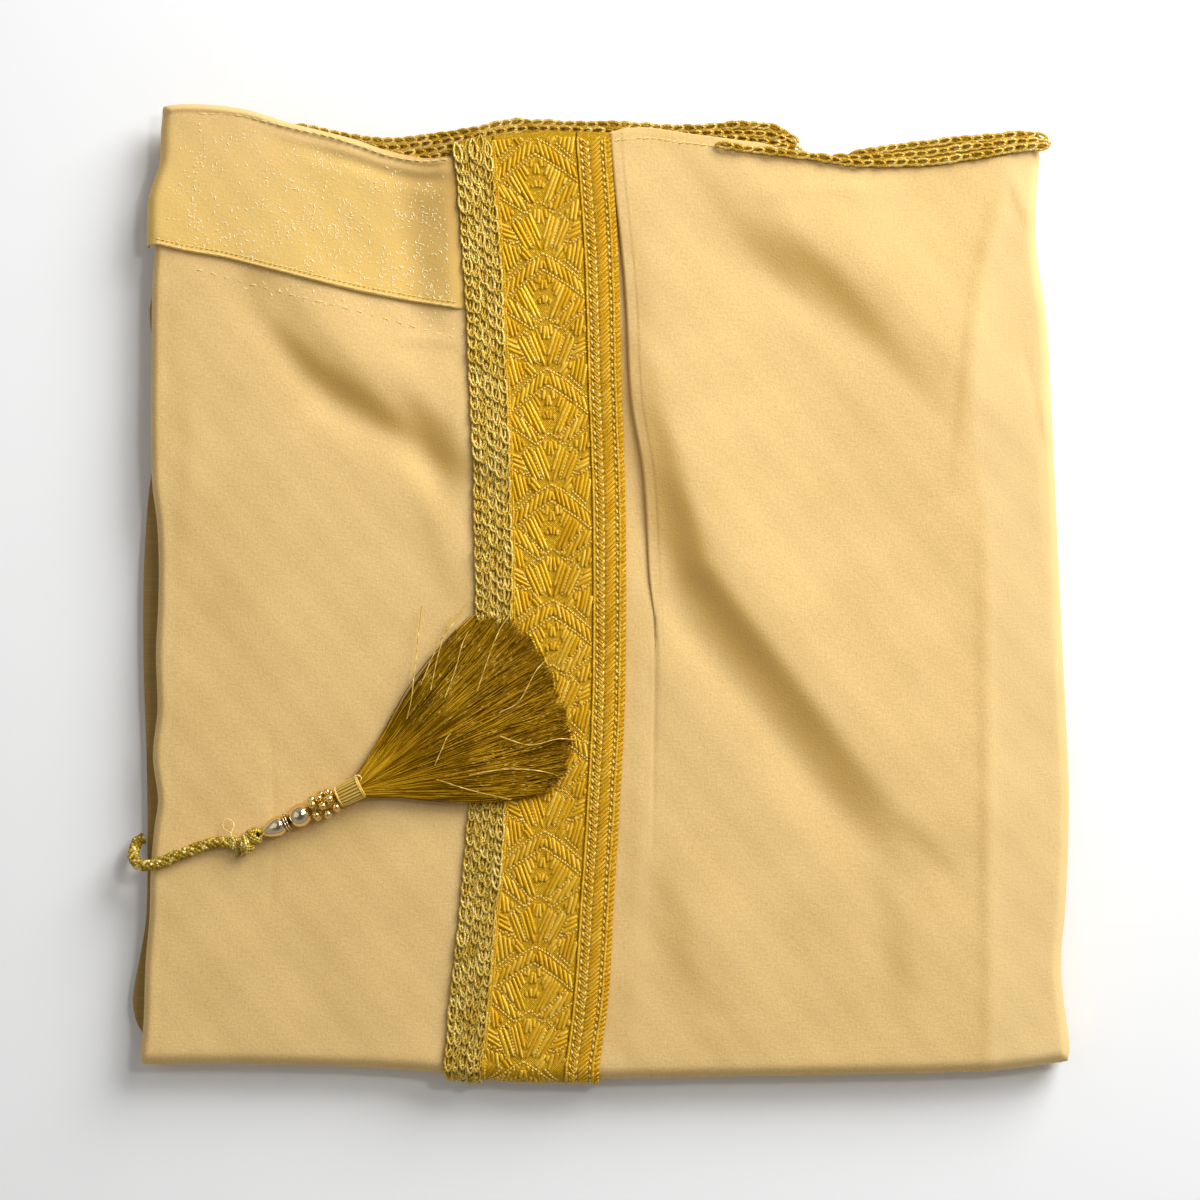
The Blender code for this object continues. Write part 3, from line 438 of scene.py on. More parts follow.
def crest_distance(fold, x, y):
    """Distance from a fold's crest, which side of it (0 to 1), and the place along it."""
    points = [(fold["x0"], fold["y0"]), (fold["x1"], fold["y1"]), (fold["x2"], fold["y2"])]
    best = np.full(np.shape(x), 1e6)
    lean = np.zeros(np.shape(x))
    place = np.zeros(np.shape(x))
    for step in range(2):
        (ax, ay), (bx, by) = points[step], points[step + 1]
        dx, dy = bx - ax, by - ay
        held = np.clip(((x - ax) * dx + (y - ay) * dy) / (dx * dx + dy * dy), 0.0, 1.0)
        away = np.hypot(x - ax - held * dx, y - ay - held * dy)
        closer = away < best
        side = ((x - ax) * dy - (y - ay) * dx) / math.hypot(dx, dy)
        best = np.where(closer, away, best)
        lean = np.where(closer, (1 + np.tanh(side / SIDE_BLEND)) / 2, lean)
        place = np.where(closer, (step + held) / 2, place)
    return best, lean, place


def cloth_height(x, y):
    """Height of the plain cloth's upper face, with its folds."""
    x, y = np.broadcast_arrays(np.asarray(x, float), np.asarray(y, float))
    height = np.full(x.shape, TOP)
    for row in FOLDS + TROUGHS + CREASES:
        fold = dict(zip(FOLD_COLUMNS, row))
        away, lean, place = crest_distance(fold, x, y)
        width = mix(fold["far_width"], fold["near_width"], lean)
        fade = mix(np.sin(math.pi * place), 1.0, END_SHARE)
        height = height + ridge(away, width, fold["rise"] * fade)
    for along_x, along_y, phase, rise in RIPPLES:
        height = height + rise * np.sin(math.tau * (along_x * x + along_y * y) + phase)
    return height


print("height at the main crest:", round(float(cloth_height(44.0, 14.0)), 2), "mm")

# %% [markdown]
# Two surface effects turn up again and again on this cloak: the crepe weave, and the twist of
# metal thread. Each is a shader node group, built once. A group only puts out numbers and colours.
# The Principled shader stays in each material, where its own settings can be read and changed.
# %% Node helpers
def new_group(name, inputs, outputs, kind="ShaderNodeTree"):
    """A node group with named sockets: each is (name, socket type, default)."""
    group = bpy.data.node_groups.new(name, kind)
    for direction, sockets in (("INPUT", inputs), ("OUTPUT", outputs)):
        for label, socket_kind, value in sockets:
            socket = group.interface.new_socket(name=label, in_out=direction, socket_type=socket_kind)
            if value is not None:
                socket.default_value = value
    return group, group.nodes.new("NodeGroupInput"), group.nodes.new("NodeGroupOutput")


def find_input(node, label):
    """An input by its identifier, or else by its name, with _ for a space."""
    for socket in node.inputs:
        if socket.identifier == label:
            return socket
    return node.inputs[label.replace("_", " ")]


def give(tree, socket, value):
    """Links a socket to another one, or gives it a value."""
    if isinstance(value, bpy.types.NodeSocket):
        tree.links.new(value, socket)
    else:
        socket.default_value = value


def add_node(tree, kind, settings=None, **values):
    """Adds a node. settings are its properties, values fill its inputs by name or link to them."""
    node = tree.nodes.new(kind)
    for key, value in (settings or {}).items():
        setattr(node, key, value)
    for label, value in values.items():
        give(tree, find_input(node, label), value)
    return node


def calculate(tree, operation, first, second=0.0, third=0.0):
    """A Math node, returned as its output socket."""
    node = add_node(tree, "ShaderNodeMath", {"operation": operation})
    for socket, value in zip(node.inputs, (first, second, third)):
        give(tree, socket, value)
    return node.outputs[0]


def blend_colours(tree, share, first, second):
    """Mixes two colours, each given as a socket or as red, green and blue."""
    node = add_node(tree, "ShaderNodeMix", {"data_type": "RGBA"})
    for number, value in ((0, share), (6, first), (7, second)):
        give(tree, node.inputs[number], (*value, 1.0) if isinstance(value, tuple) else value)
    return node.outputs[2]


def mesh_value(tree, name, output="Fac"):
    """A value that is stored on the mesh."""
    return add_node(tree, "ShaderNodeAttribute", {"attribute_name": name}).outputs[output]


def scaled(tree, vector, scale):
    node = add_node(tree, "ShaderNodeVectorMath", {"operation": "SCALE"}, Vector=vector, Scale=scale)
    return node.outputs[0]


def clamp(tree, value):
    return add_node(tree, "ShaderNodeClamp", Value=value).outputs[0]


# %% The crepe weave
def build_crepe_group():
    """Fine crinkled grain, with faint slubs along the warp and the weft."""
    sockets_in = (("Vector", "NodeSocketVector", None), ("Grain per mm", "NodeSocketFloat", 1.0))
    sockets_out = (("Height", "NodeSocketFloat", None), ("Tone", "NodeSocketFloat", None))
    group, source, result = new_group("crepe_weave", sockets_in, sockets_out)
    place = scaled(group, source.outputs["Vector"], source.outputs["Grain per mm"])
    parts = []
    for stretch in ((0.28, 1.15, 1.0), (1.15, 0.28, 1.0), (0.8, 0.8, 0.8)):
        pulled = add_node(group, "ShaderNodeMapping", Vector=place, Scale=stretch)
        noise = add_node(group, "ShaderNodeTexNoise", Vector=pulled.outputs[0], Scale=1.0,
                         Detail=2.5, Roughness=0.6)
        parts.append(noise.outputs["Fac"])
    slubs = calculate(group, "ADD", parts[0], parts[1])
    height = calculate(group, "ADD", slubs, calculate(group, "MULTIPLY", parts[2], 1.6))
    group.links.new(height, result.inputs["Height"])
    large = add_node(group, "ShaderNodeTexNoise", Vector=source.outputs["Vector"], Scale=0.035,
                     Detail=2.0)
    spread = calculate(group, "MULTIPLY_ADD", height, 0.75, -0.98)
    tone = calculate(group, "ADD", spread, calculate(group, "MULTIPLY", large.outputs["Fac"], 0.6))
    group.links.new(tone, result.inputs["Tone"])
    return group


# %% The twist of metal thread
def build_thread_group():
    """Strands wound round a thread: a bump, and a mask of where they glint."""
    sockets_in = (("Vector", "NodeSocketVector", None), ("Turns per mm", "NodeSocketFloat", 1.2),
                  ("Pick", "NodeSocketFloat", 0.5))
    sockets_out = (("Height", "NodeSocketFloat", None), ("Glint", "NodeSocketFloat", None),
                   ("Tone", "NodeSocketFloat", None))
    group, source, result = new_group("metal_thread", sockets_in, sockets_out)
    place = scaled(group, source.outputs["Vector"], source.outputs["Turns per mm"])
    wave = add_node(group, "ShaderNodeTexWave", {"bands_direction": "DIAGONAL"},
                    Vector=place, Scale=0.5, Distortion=1.2, Detail=1.0)
    specks = add_node(group, "ShaderNodeTexNoise", Vector=place, Scale=0.9, Detail=2.0)
    group.links.new(wave.outputs["Fac"], result.inputs["Height"])
    edge = calculate(group, "SUBTRACT", specks.outputs["Fac"], 0.52)
    lifted = calculate(group, "MULTIPLY", edge, 6.0)
    varied = calculate(group, "MULTIPLY_ADD", source.outputs["Pick"], 0.9, -0.35)
    group.links.new(clamp(group, calculate(group, "ADD", lifted, varied)), result.inputs["Glint"])
    tone = calculate(group, "MULTIPLY_ADD", wave.outputs["Fac"], 0.5,
                     calculate(group, "MULTIPLY", source.outputs["Pick"], 0.5))
    group.links.new(tone, result.inputs["Tone"])
    return group


crepe_weave = build_crepe_group()
metal_thread = build_thread_group()
print("shader groups:", crepe_weave.name, metal_thread.name)

# %% [markdown]
# Cloth and gold need different tricks. The crepe is matt with a soft sheen, a little darker in its
# grain. The gold thread is a metal whose colour changes from strand to strand: pale where a strand
# catches the light, brown where it turns away. Its patterns read an attribute called `local`, the
# place on the small piece before it was repeated, so the twist follows every loop and every leaf.
# %% Cloth finishes
def start_material(name):
    material = bpy.data.materials.new(name)
    material.use_nodes = True
    return material, material.node_tree


def finish_material(tree, height, strength, depth, values):
    """Fills the shader's inputs. height is a socket that drives its bump, depth is in metres."""
    shader = tree.nodes["Principled BSDF"]
    for label, value in values.items():
        give(tree, shader.inputs[label], value)
    relief = add_node(tree, "ShaderNodeBump", Height=height, Strength=strength, Distance=depth)
    tree.links.new(relief.outputs[0], shader.inputs["Normal"])


CREPE_GRAIN = 1.25  # crinkles per mm
SHEEN_TINT = (1.0, 0.86, 0.6, 1.0)


def cloth_finish(name, light, dark, sheen=0.08, gold=None, tint=None, deep=None):
    """Crepe. gold tints it where metal thread shows through, tint is the tone of a paler part where fewer layers lie,
    or of painted shade, and deep is painted shade: a richer colour on fold slopes that face away from the key light."""
    material, tree = start_material(name)
    uv = add_node(tree, "ShaderNodeUVMap", {"uv_map": "cloth_mm"}).outputs[0]
    weave = add_node(tree, "ShaderNodeGroup", {"node_tree": crepe_weave}, Vector=uv,
                     Grain_per_mm=CREPE_GRAIN)
    colour = blend_colours(tree, weave.outputs["Tone"], dark, light)
    # deep is painted shade on the fold slopes that face away from the key light
    if deep:
        colour = blend_colours(tree, mesh_value(tree, "deep"), colour, deep)
    if gold:
        specks = add_node(tree, "ShaderNodeTexNoise", Vector=uv, Scale=1.6, Detail=3.0)
        bright = calculate(tree, "MULTIPLY_ADD", specks.outputs["Fac"], 2.4, -0.55)
        spread = clamp(tree, calculate(tree, "MULTIPLY", bright, mesh_value(tree, "gold")))
        colour = blend_colours(tree, spread, colour, gold)
    # tint is a paler tone where fewer layers lie, or painted shade on the facing
    if tint:
        colour = blend_colours(tree, mesh_value(tree, "tint"), colour, tint)
    finish_material(tree, weave.outputs["Height"], 0.32, 0.00025, {
        "Base Color": colour, "Roughness": 0.85, "Specular IOR Level": 0.15,
        "Sheen Weight": sheen, "Sheen Roughness": 0.4, "Sheen Tint": SHEEN_TINT})
    return material


# The deep colour of the plain cloth is painted shade: richer and darker on fold slopes away from the key light.
plain_cloth = cloth_finish("plain_cloth", (0.805, 0.56, 0.240), (0.64, 0.42, 0.145),
                           tint=(0.86, 0.64, 0.31), deep=(0.72, 0.44, 0.11))
# inner_cloth is the same crepe in darker tones: painted shade on the folded layers below the fronts.
inner_cloth = cloth_finish("inner_cloth", (0.42, 0.27, 0.09), (0.30, 0.19, 0.055), sheen=0.05)
# The facing's tint is painted shade, darker toward the band where the facing slopes down to it.
facing_cloth = cloth_finish("facing_cloth", (0.82, 0.57, 0.24), (0.65, 0.43, 0.15),
                            gold=(0.84, 0.55, 0.13), tint=(0.45, 0.265, 0.07))


# %% Gold finishes
GOLD_SHINE = (1.0, 0.80, 0.38, 1.0)  # gold tints what it reflects
DASH_COLOUR = (1.0, 0.72, 0.15)


def gold_finish(name, light, dark, glint, roughness=0.36, metallic=0.55, turns=1.2, bump=0.5,
                dashes=None):
    """Metal thread. light and dark are its two tones, glint the strands that catch the light.

    dashes is the length of thread, in mm, after which it sparkles in short dashes.
    """
    material, tree = start_material(name)
    local = mesh_value(tree, "local", "Vector")
    thread = add_node(tree, "ShaderNodeGroup", {"node_tree": metal_thread}, Vector=local,
                      Turns_per_mm=turns, Pick=mesh_value(tree, "pick"))
    body = blend_colours(tree, thread.outputs["Tone"], dark, light)
    colour = blend_colours(tree, thread.outputs["Glint"], body, glint)
    if dashes:
        run = add_node(tree, "ShaderNodeSeparateXYZ", Vector=local)
        outer = clamp(tree, calculate(tree, "MULTIPLY_ADD", run.outputs["X"], 1 / dashes, -1.0))
        specks = add_node(tree, "ShaderNodeTexNoise", Vector=local, Scale=0.36)
        spark = clamp(tree, calculate(tree, "MULTIPLY_ADD", specks.outputs["Fac"], 9.0, -5.4))
        colour = blend_colours(tree, calculate(tree, "MULTIPLY", spark, outer), colour, DASH_COLOUR)
    rough = calculate(tree, "MULTIPLY_ADD", thread.outputs["Glint"], -0.14, roughness)
    finish_material(tree, thread.outputs["Height"], bump, 0.0002, {
        "Base Color": colour, "Roughness": rough, "Metallic": metallic,
        "Specular IOR Level": 0.12, "Specular Tint": GOLD_SHINE})
    return material


braid_gold = gold_finish("braid_gold", (0.79, 0.56, 0.105), (0.44, 0.27, 0.018), (0.98, 0.82, 0.32),
                         metallic=0.35)
neck_gold = gold_finish("neck_gold", (0.76, 0.47, 0.05), (0.40, 0.22, 0.01), (0.98, 0.80, 0.32),
                        metallic=0.35)
dot_gold = gold_finish("dot_gold", (0.98, 0.68, 0.15), (0.80, 0.50, 0.05), (1.0, 0.88, 0.42),
                       metallic=0.1)
leaf_gold = gold_finish("leaf_gold", (0.94, 0.56, 0.020), (0.66, 0.34, 0.006), (1.0, 0.78, 0.18),
                        roughness=0.34, metallic=0.3, turns=2.0)
# The gold ground is darker than what lies on it: partly its own colour, partly painted shade between the stitches.
ground_gold = gold_finish("ground_gold", (0.64, 0.36, 0.010), (0.34, 0.17, 0.003),
                          (0.88, 0.56, 0.05), roughness=0.5, metallic=0.2, turns=1.6, bump=0.9)
bead_gold = gold_finish("bead_gold", (1.0, 0.79, 0.27), (0.86, 0.58, 0.10), (1.0, 0.93, 0.56),
                        roughness=0.3, metallic=0.1)
thread_gold = gold_finish("thread_gold", (0.43, 0.215, 0.003), (0.085, 0.038, 0.001),
                          (0.80, 0.46, 0.02), roughness=0.36, metallic=0.4, turns=0.05, bump=0.1,
                          dashes=24.0)
glint_gold = gold_finish("glint_gold", (1.0, 0.93, 0.62), (1.0, 0.86, 0.45), (1.0, 0.98, 0.82),
                         metallic=0.0, bump=0.05)
stray_gold = gold_finish("stray_gold", (0.66, 0.42, 0.06), (0.42, 0.24, 0.015), (0.92, 0.68, 0.22),
                         metallic=0.2, turns=0.3, bump=0.1)
cord_gold = gold_finish("cord_gold", (0.62, 0.41, 0.04), (0.20, 0.115, 0.003), (1.0, 0.86, 0.34),
                        roughness=0.34, metallic=0.3, turns=1.4)


def metal_finish(name, light, dark, roughness, painted_ridge_light=False, metallic=1.0):
    """Polished metal with a faint patina. Ridged metal has painted highlights on its ridges and painted shade between
    them.
    """
    material, tree = start_material(name)
    place = add_node(tree, "ShaderNodeTexCoord").outputs["Object"]
    patina = add_node(tree, "ShaderNodeTexNoise", Vector=place, Scale=320.0, Detail=4.0).outputs["Fac"]
    colour = blend_colours(tree, mesh_value(tree, "pick") if painted_ridge_light else patina, dark, light)
    rough = calculate(tree, "MULTIPLY_ADD", patina, 0.12, roughness)
    scratches = add_node(tree, "ShaderNodeTexNoise", Vector=place, Scale=1500.0)
    finish_material(tree, scratches.outputs["Fac"], 0.15, 0.00005, {
        "Base Color": colour, "Roughness": rough, "Metallic": metallic, "Specular Tint": GOLD_SHINE})
    return material


bead_metal = metal_finish("bead_metal", (0.95, 0.80, 0.52), (0.80, 0.64, 0.38), 0.10)
bead_bright = metal_finish("bead_bright", (1.0, 0.80, 0.36), (0.90, 0.64, 0.20), 0.12)
# The rings and the cap are ridged: painted highlights on their ridges, painted shade in their cuts and grooves.
ring_metal = metal_finish("ring_metal", (1.0, 0.88, 0.60), (0.20, 0.11, 0.03), 0.14, painted_ridge_light=True)
cap_metal = metal_finish("cap_metal", (1.0, 0.72, 0.18), (0.36, 0.18, 0.008), 0.20, painted_ridge_light=True,
                         metallic=0.55)
print("materials:", len(bpy.data.materials))

# %% [markdown]
# A panel of cloth is a grid of points. It lies on the height function in the middle, and at a side
# it turns down over the fold: the last few rows go round an arc. The grid becomes a thin surface, a
# Solidify modifier gives it its thickness, and the result is kept as a plain mesh. A cloth
# simulation would also wrinkle a panel, but it would wrinkle it where the photograph doesn't.
# %% Laying a sheet
NO_TURN = {"inset": 0.0, "drop": 0.0, "angle": 0.0}


def stations(count, low_turn=0, high_turn=0, crowd=1.0):
    """Places across a sheet: the share of the way, and how much of a turn is made there."""
    low = [(0.0, -(low_turn - k) / low_turn) for k in range(low_turn)]
    flat = [((k / count) ** crowd, 0.0) for k in range(count + 1)]
    high = [(1.0, (k + 1) / high_turn) for k in range(high_turn)]
    return np.array(low + flat + high)


def lay_sheet(sheet, columns, rows, offset=0.0):
    """Grid of points of a sheet, columns along X and rows along Y, at an offset from the cloth."""
    share_x, turned_x = columns[:, :1], columns[:, 1:]
    share_y, turned_y = rows[:, 0][None, :], rows[:, 1][None, :]
    left, right, bottom, top = (sheet["turns"].get(side, NO_TURN)
                                for side in ("left", "right", "bottom", "top"))
    y = mix(*FRONT_TO_BACK, share_y) + 0 * share_x
    for _ in range(3):
        x = mix(sheet["left"](y) + left["inset"], sheet["right"](y) - right["inset"], share_x)
        y = mix(sheet["bottom"](x) + bottom["inset"], sheet["top"](x) - top["inset"], share_y)
    a, b = np.abs(turned_x) + 0 * y, np.abs(turned_y) + 0 * y
    share = b**2 / np.maximum(a**2 + b**2, 1e-9)

    def pick(key):
        side = np.where(turned_x < 0, left[key], right[key])
        end = np.where(turned_y < 0, bottom[key], top[key])
        return side + 0 * y, end + 0 * y, mix(side, end, share)

    drop = pick("drop")[2]
    angle = np.radians(pick("angle")[2]) * np.maximum(a, b)
    inset_x, inset_y, _ = pick("inset")
    reach = np.maximum(np.hypot(a, b), 1e-9)
    stretch = np.maximum(np.maximum(a, b) / reach, 0.5) ** SQUARE_CORNER
    height = cloth_height(x, y)
    px = x + np.sign(turned_x) * (inset_x + offset) * np.sin(angle) * a / reach / stretch
    py = y + np.sign(turned_y) * (inset_y + offset) * np.sin(angle) * b / reach / stretch
    pz = height - drop + (drop + offset) * np.cos(angle)
    if "rise" in sheet:
        pz = pz + sheet["rise"](px, py)
    return np.stack([px, py, pz], axis=-1)


def walk(grid, axis):
    """Distance along one direction of a grid, in mm, averaged over the other."""
    steps = np.linalg.norm(np.diff(grid, axis=axis), axis=-1).mean(axis=1 - axis)
    return np.concatenate([[0.0], np.cumsum(steps)])


def cut_size(grid):
    """Width, length and area of the flat piece of cloth that a grid was laid from, in mm."""
    wide = np.linalg.norm(np.diff(grid, axis=0), axis=-1).sum(axis=0).max()
    deep = np.linalg.norm(np.diff(grid, axis=1), axis=-1).sum(axis=1).max()
    first, second = grid[1:, 1:] - grid[:-1, :-1], grid[:-1, 1:] - grid[1:, :-1]
    area = np.linalg.norm(np.cross(first, second), axis=-1).sum() / 2
    return float(wide), float(deep), float(min(area, wide * deep))


def new_mesh(name, points, faces=(), edges=()):
    """A mesh from points in millimetres."""
    mesh = bpy.data.meshes.new(name)
    mesh.from_pydata((np.asarray(points).reshape(-1, 3) * MM).tolist(), edges, faces)
    return mesh


def ring_quads(rings, sides, first=0, closed=False):
    """Faces between one ring of points and the next. first is the number of the first point."""
    faces = []
    for r in range(rings if closed else rings - 1):
        here, there = first + r * sides, first + (r + 1) % rings * sides
        faces += [(here + k, here + (k + 1) % sides, there + (k + 1) % sides, there + k)
                  for k in range(sides)]
    return faces


def tube_faces(rings, sides):
    """Faces of a tube of rings, with a cap at both ends."""
    last = (rings - 1) * sides
    return ring_quads(rings, sides) + [tuple(range(sides))[::-1], tuple(range(last, last + sides))]


def corner_points(mesh):
    """The point that each corner of each face uses."""
    corner = np.zeros(len(mesh.loops), int)
    mesh.loops.foreach_get("vertex_index", corner)
    return corner


def grid_object(name, grid, material, attributes=None):
    """A surface from a grid of points, with a UV map in millimetres along the cloth."""
    wide, deep = grid.shape[:2]
    index = np.arange(wide * deep).reshape(wide, deep)
    quads = np.stack([index[:-1, :-1], index[1:, :-1], index[1:, 1:], index[:-1, 1:]], axis=-1)
    mesh = new_mesh(name, grid, quads.reshape(-1, 4).tolist())
    across, along = np.meshgrid(walk(grid, 0), walk(grid, 1), indexing="ij")
    places = np.stack([across.ravel(), along.ravel()], axis=-1)
    mesh.uv_layers.new(name="cloth_mm").data.foreach_set("uv", places[corner_points(mesh)].ravel())
    for key, values in (attributes or {}).items():
        store_values(mesh, key, values)
    return add_piece(name, mesh, material)


def store_values(mesh, key, values):
    """Stores one value for each point: a number, or a vector of three."""
    values = np.asarray(values, float)
    vector = values.size == 3 * len(mesh.vertices)
    field = mesh.attributes.new(key, "FLOAT_VECTOR" if vector else "FLOAT", "POINT")
    field.data.foreach_set("vector" if vector else "value", values.ravel())


def add_piece(name, mesh, material):
    mesh.materials.clear()
    mesh.materials.append(material)
    mesh.shade_smooth()
    return put_in_scene(name, mesh)


def keep_result(piece):
    """Makes the modifiers' result the piece's own mesh."""
    bpy.context.view_layer.update()
    graph = bpy.context.evaluated_depsgraph_get()
    mesh = bpy.data.meshes.new_from_object(piece.evaluated_get(graph), preserve_all_data_layers=True,
                                           depsgraph=graph)
    piece.modifiers.clear()
    piece.data = mesh
    return piece


def thicken(piece, thickness):
    wall = piece.modifiers.new("wall", "SOLIDIFY")
    wall.thickness = thickness * MM
    wall.offset = -1.0
    wall.use_quality_normals = True
    return keep_result(piece)


def join_pieces(name, pieces):
    """Joins pieces into one object. Their materials and attributes stay."""
    with bpy.context.temp_override(active_object=pieces[0], selected_editable_objects=pieces):
        bpy.ops.object.join()
    pieces[0].name = name
    return pieces[0]


# %% Painted shade inside the folds
CLOTH = 0.55  # thickness of the cloth, two layers at a hem
FOLD_SHADE_MOST = 0.8
FOLD_SHADE_GAIN = 1.3
FOLD_SHADE_START = 0.05


def painted_fold_shade(grid):
    """Painted shade in the folds: how far each point slopes away from the key light, up to its most."""
    x, y = grid[..., 0], grid[..., 1]
    slope_x = cloth_height(x + 1, y) - cloth_height(x - 1, y)
    slope_y = cloth_height(x, y + 1) - cloth_height(x, y - 1)
    away = (slope_x * KEY["place"][0] + slope_y * KEY["place"][1]) / math.hypot(*KEY["place"][:2])
    return FOLD_SHADE_MOST * np.clip(away * FOLD_SHADE_GAIN - FOLD_SHADE_START, 0, 1)


# %% Left front
FLAP_COVER = 4.6
FLAP_END = -64.0


def left_front_top(x):
    beside = read_table(FLAP_TOP, np.minimum(x, FLAP_END)) - FLAP_COVER + np.maximum(x - FLAP_END, 0) * 0.2
    return np.where(x > FLAP_END, np.minimum(beside, read_table(BAND_TOP, x) - 8.0), beside)


def left_hem(x, y):
    """The panel's left edge is a turned hem, with a stitched line inside it."""
    return ridge(x - read_table(LEFT_EDGE, y) - 6.5, 0.7, -0.22)


left_sheet = {
    "left": curve(LEFT_EDGE),
    "right": lambda y: seam_place(y) - GAP,
    "bottom": curve(BOTTOM_EDGE),
    "top": left_front_top,
    "turns": {"left": LEFT_TURN, "bottom": BOTTOM_TURN},
    "rise": left_hem,
}
left_grid = lay_sheet(left_sheet, stations(92, low_turn=10), stations(150, low_turn=12))
left_cloth = thicken(grid_object("left_front_cloth", left_grid, plain_cloth,
                                 {"deep": painted_fold_shade(left_grid)}), CLOTH)
print("left front:", len(left_cloth.data.polygons), "faces")

# %% [markdown]
# The right front has a tuck beside the band: a Z fold whose edge lies to the left, over the strip of
# the same cloth that runs in below the band. A short table holds the fold as a path across it. Near
# the neck the path is followed as it stands. Further down it is blended with a straight line, so the
# tuck opens out and the cloth lies flat, all in one sheet from the band to the right edge.
# %% Right front
STRIP_DROP = 0.5  # the strip lies this much lower than the panel
HEM_WIDTH = 2.7
TUCK_SPREAD = 3.0
TUCK_REACH = 2.5
TUCK_PATH = (
    (-2.5, 0.0), (1.0, 0.0), (4.0, 0.0), (6.4, 0.01), (7.0, 0.06), (6.4, 0.11), (4.0, 0.12),
    (1.0, 0.12), (0.0, 0.12), (-0.55, 0.18), (-0.95, 0.34), (-1.1, 0.56), (-0.95, 0.78),
    (-0.55, 0.94), (0.0, 1.0), (2.5, 1.0),
)  # mm past the folded edge, share of the height between strip and panel
BRAID_UNDERLAP = 1.2
PALE_MOST = 0.4  # share of the paler tint right of the line below, where fewer layers lie


def tuck_share(y):
    return read_table(TUCK_FADE, y)


def tuck_folded(y):
    """1 where the tuck is folded flat on the strip, 0 where it has opened out."""
    return ease(np.clip((tuck_share(y) - 0.30) / 0.40, 0.0, 1.0))


def panel_rise(x, y):
    """The tuck's height, gone a third of the way to the right, and the hem line beside its edge."""
    past = np.maximum(x - tuck_place(y), 0.0)
    span = (read_table(RIGHT_EDGE, y) - tuck_place(y)) / TUCK_SPREAD
    lift = TUCK_RISE * tuck_share(y) * np.clip(1 - past / span, 0.0, 1.0) ** 1.5
    rim = ridge(past - HEM_WIDTH, 0.45, -0.3) * tuck_share(y)
    return lift + rim


def panel_top(x):
    return np.maximum(read_table(FRONT_TOP, x), read_table(RIGHT_BRAID, x, 1) + BRAID_UNDERLAP)


def tuck_column(even, past, level):
    """The sheet of one step of the fold: a single column of points."""
    def place(y):
        opened = mix(-TUCK_REACH, TUCK_REACH, even)
        return tuck_place(y) + mix(opened, past, tuck_folded(y))

    def rise(x, y):
        share = mix(even, level, tuck_folded(y))
        return mix(-STRIP_DROP * tuck_share(y), panel_rise(x, y), share)

    return {"left": place, "right": place, "bottom": curve(BOTTOM_EDGE),
            "top": panel_top, "turns": {"bottom": BOTTOM_TURN, "top": HEM_TURN}, "rise": rise}


strip_sheet = {
    "left": lambda y: seam_place(y) + GAP,
    "right": lambda y: tuck_place(y) - TUCK_REACH - 0.4,
    "bottom": curve(BOTTOM_EDGE),
    "top": lambda x: read_table(BAND_TOP, np.minimum(x, 4.0)) - 1.0,
    "turns": {"bottom": BOTTOM_TURN, "top": HEM_TURN},
    "rise": lambda x, y: -STRIP_DROP * tuck_share(y),
}
panel_sheet = {
    "left": lambda y: tuck_place(y) + TUCK_REACH + 0.6,
    "right": curve(RIGHT_EDGE),
    "bottom": curve(BOTTOM_EDGE),
    "top": panel_top,
    "turns": {"right": RIGHT_TURN, "bottom": BOTTOM_TURN, "top": HEM_TURN},
    "rise": panel_rise,
}
rows = stations(150, low_turn=12, high_turn=5)
steps = [lay_sheet(tuck_column(k / (len(TUCK_PATH) - 1), *step), np.zeros((1, 2)), rows)
         for k, step in enumerate(TUCK_PATH)]
right_grid = np.concatenate([lay_sheet(strip_sheet, stations(14), rows)] + steps
                            + [lay_sheet(panel_sheet, stations(116, high_turn=12, crowd=1.25), rows)])
PALE_LINE = ((-180, 148), (-80, 147.5), (22, 146), (60, 141), (113, 143), (155, 153))  # y, x
past_line = right_grid[..., 0] - read_table(PALE_LINE, right_grid[..., 1])
right_cloth = thicken(grid_object("right_front_cloth", right_grid, plain_cloth,
                                  {"tint": PALE_MOST * np.clip(past_line / 3, 0, 1),
                                   "deep": painted_fold_shade(right_grid)}), CLOTH)
print("right front:", len(right_cloth.data.polygons), "faces")

# %% [markdown]
# At the upper left the neck facing is folded down, so its wrong side shows, with the gold work
# showing through. Its top edge is a roll of cloth with a stitched line below it. The amount of gold
# is stored at each point: none in the plain patch near the corner, much of it near the lower edge.
# %% Neck facing
FACING_LIFT = 1.3
ROLL_WIDTH = 3.6
SHADE_REACH = 38.0  # the facing is darker this near to the band, in mm
SHADE_MOST = 0.8
SHADE_LOW = 0.35  # share of that shade at the lower edge, and how much it grows upward
SHADE_RISE = 0.9
GOLD_SHARE = (
    (-174, 1.0, 0.1), (-150, 0.9, 0.05), (-132, 0.75, 0.0), (-118, 0.8, 0.4), (-100, 0.9, 0.6),
    (-52, 1.0, 0.7),
)  # x, share of gold at the lower edge and at the upper edge


def facing_rise(x, y):
    """The rolled top, the groove below it, and a low welt along the lower hem."""
    below = read_table(FLAP_TOP, x) - y
    above = y - read_table(FLAP_BOTTOM, x)
    roll = ridge(below - 1.9, 1.5, 0.75)
    seam = ridge(below - ROLL_WIDTH, 0.5, -0.35) + ridge(above - 2.2, 0.4, -0.25)
    second = ridge(below - 6.0, 1.6, 0.45) * np.clip((x + 140) / 50, 0, 1)
    shade = ridge(below - 9.5, 3.0, -0.7) * np.clip((x + 125) / 30, 0, 1)
    sunk = np.clip((x - read_table(BAND_LEFT, y) + 5.0) / 5.0, 0, 1)
    return (roll + seam + second + shade) * (1 - sunk) - 0.9 * sunk


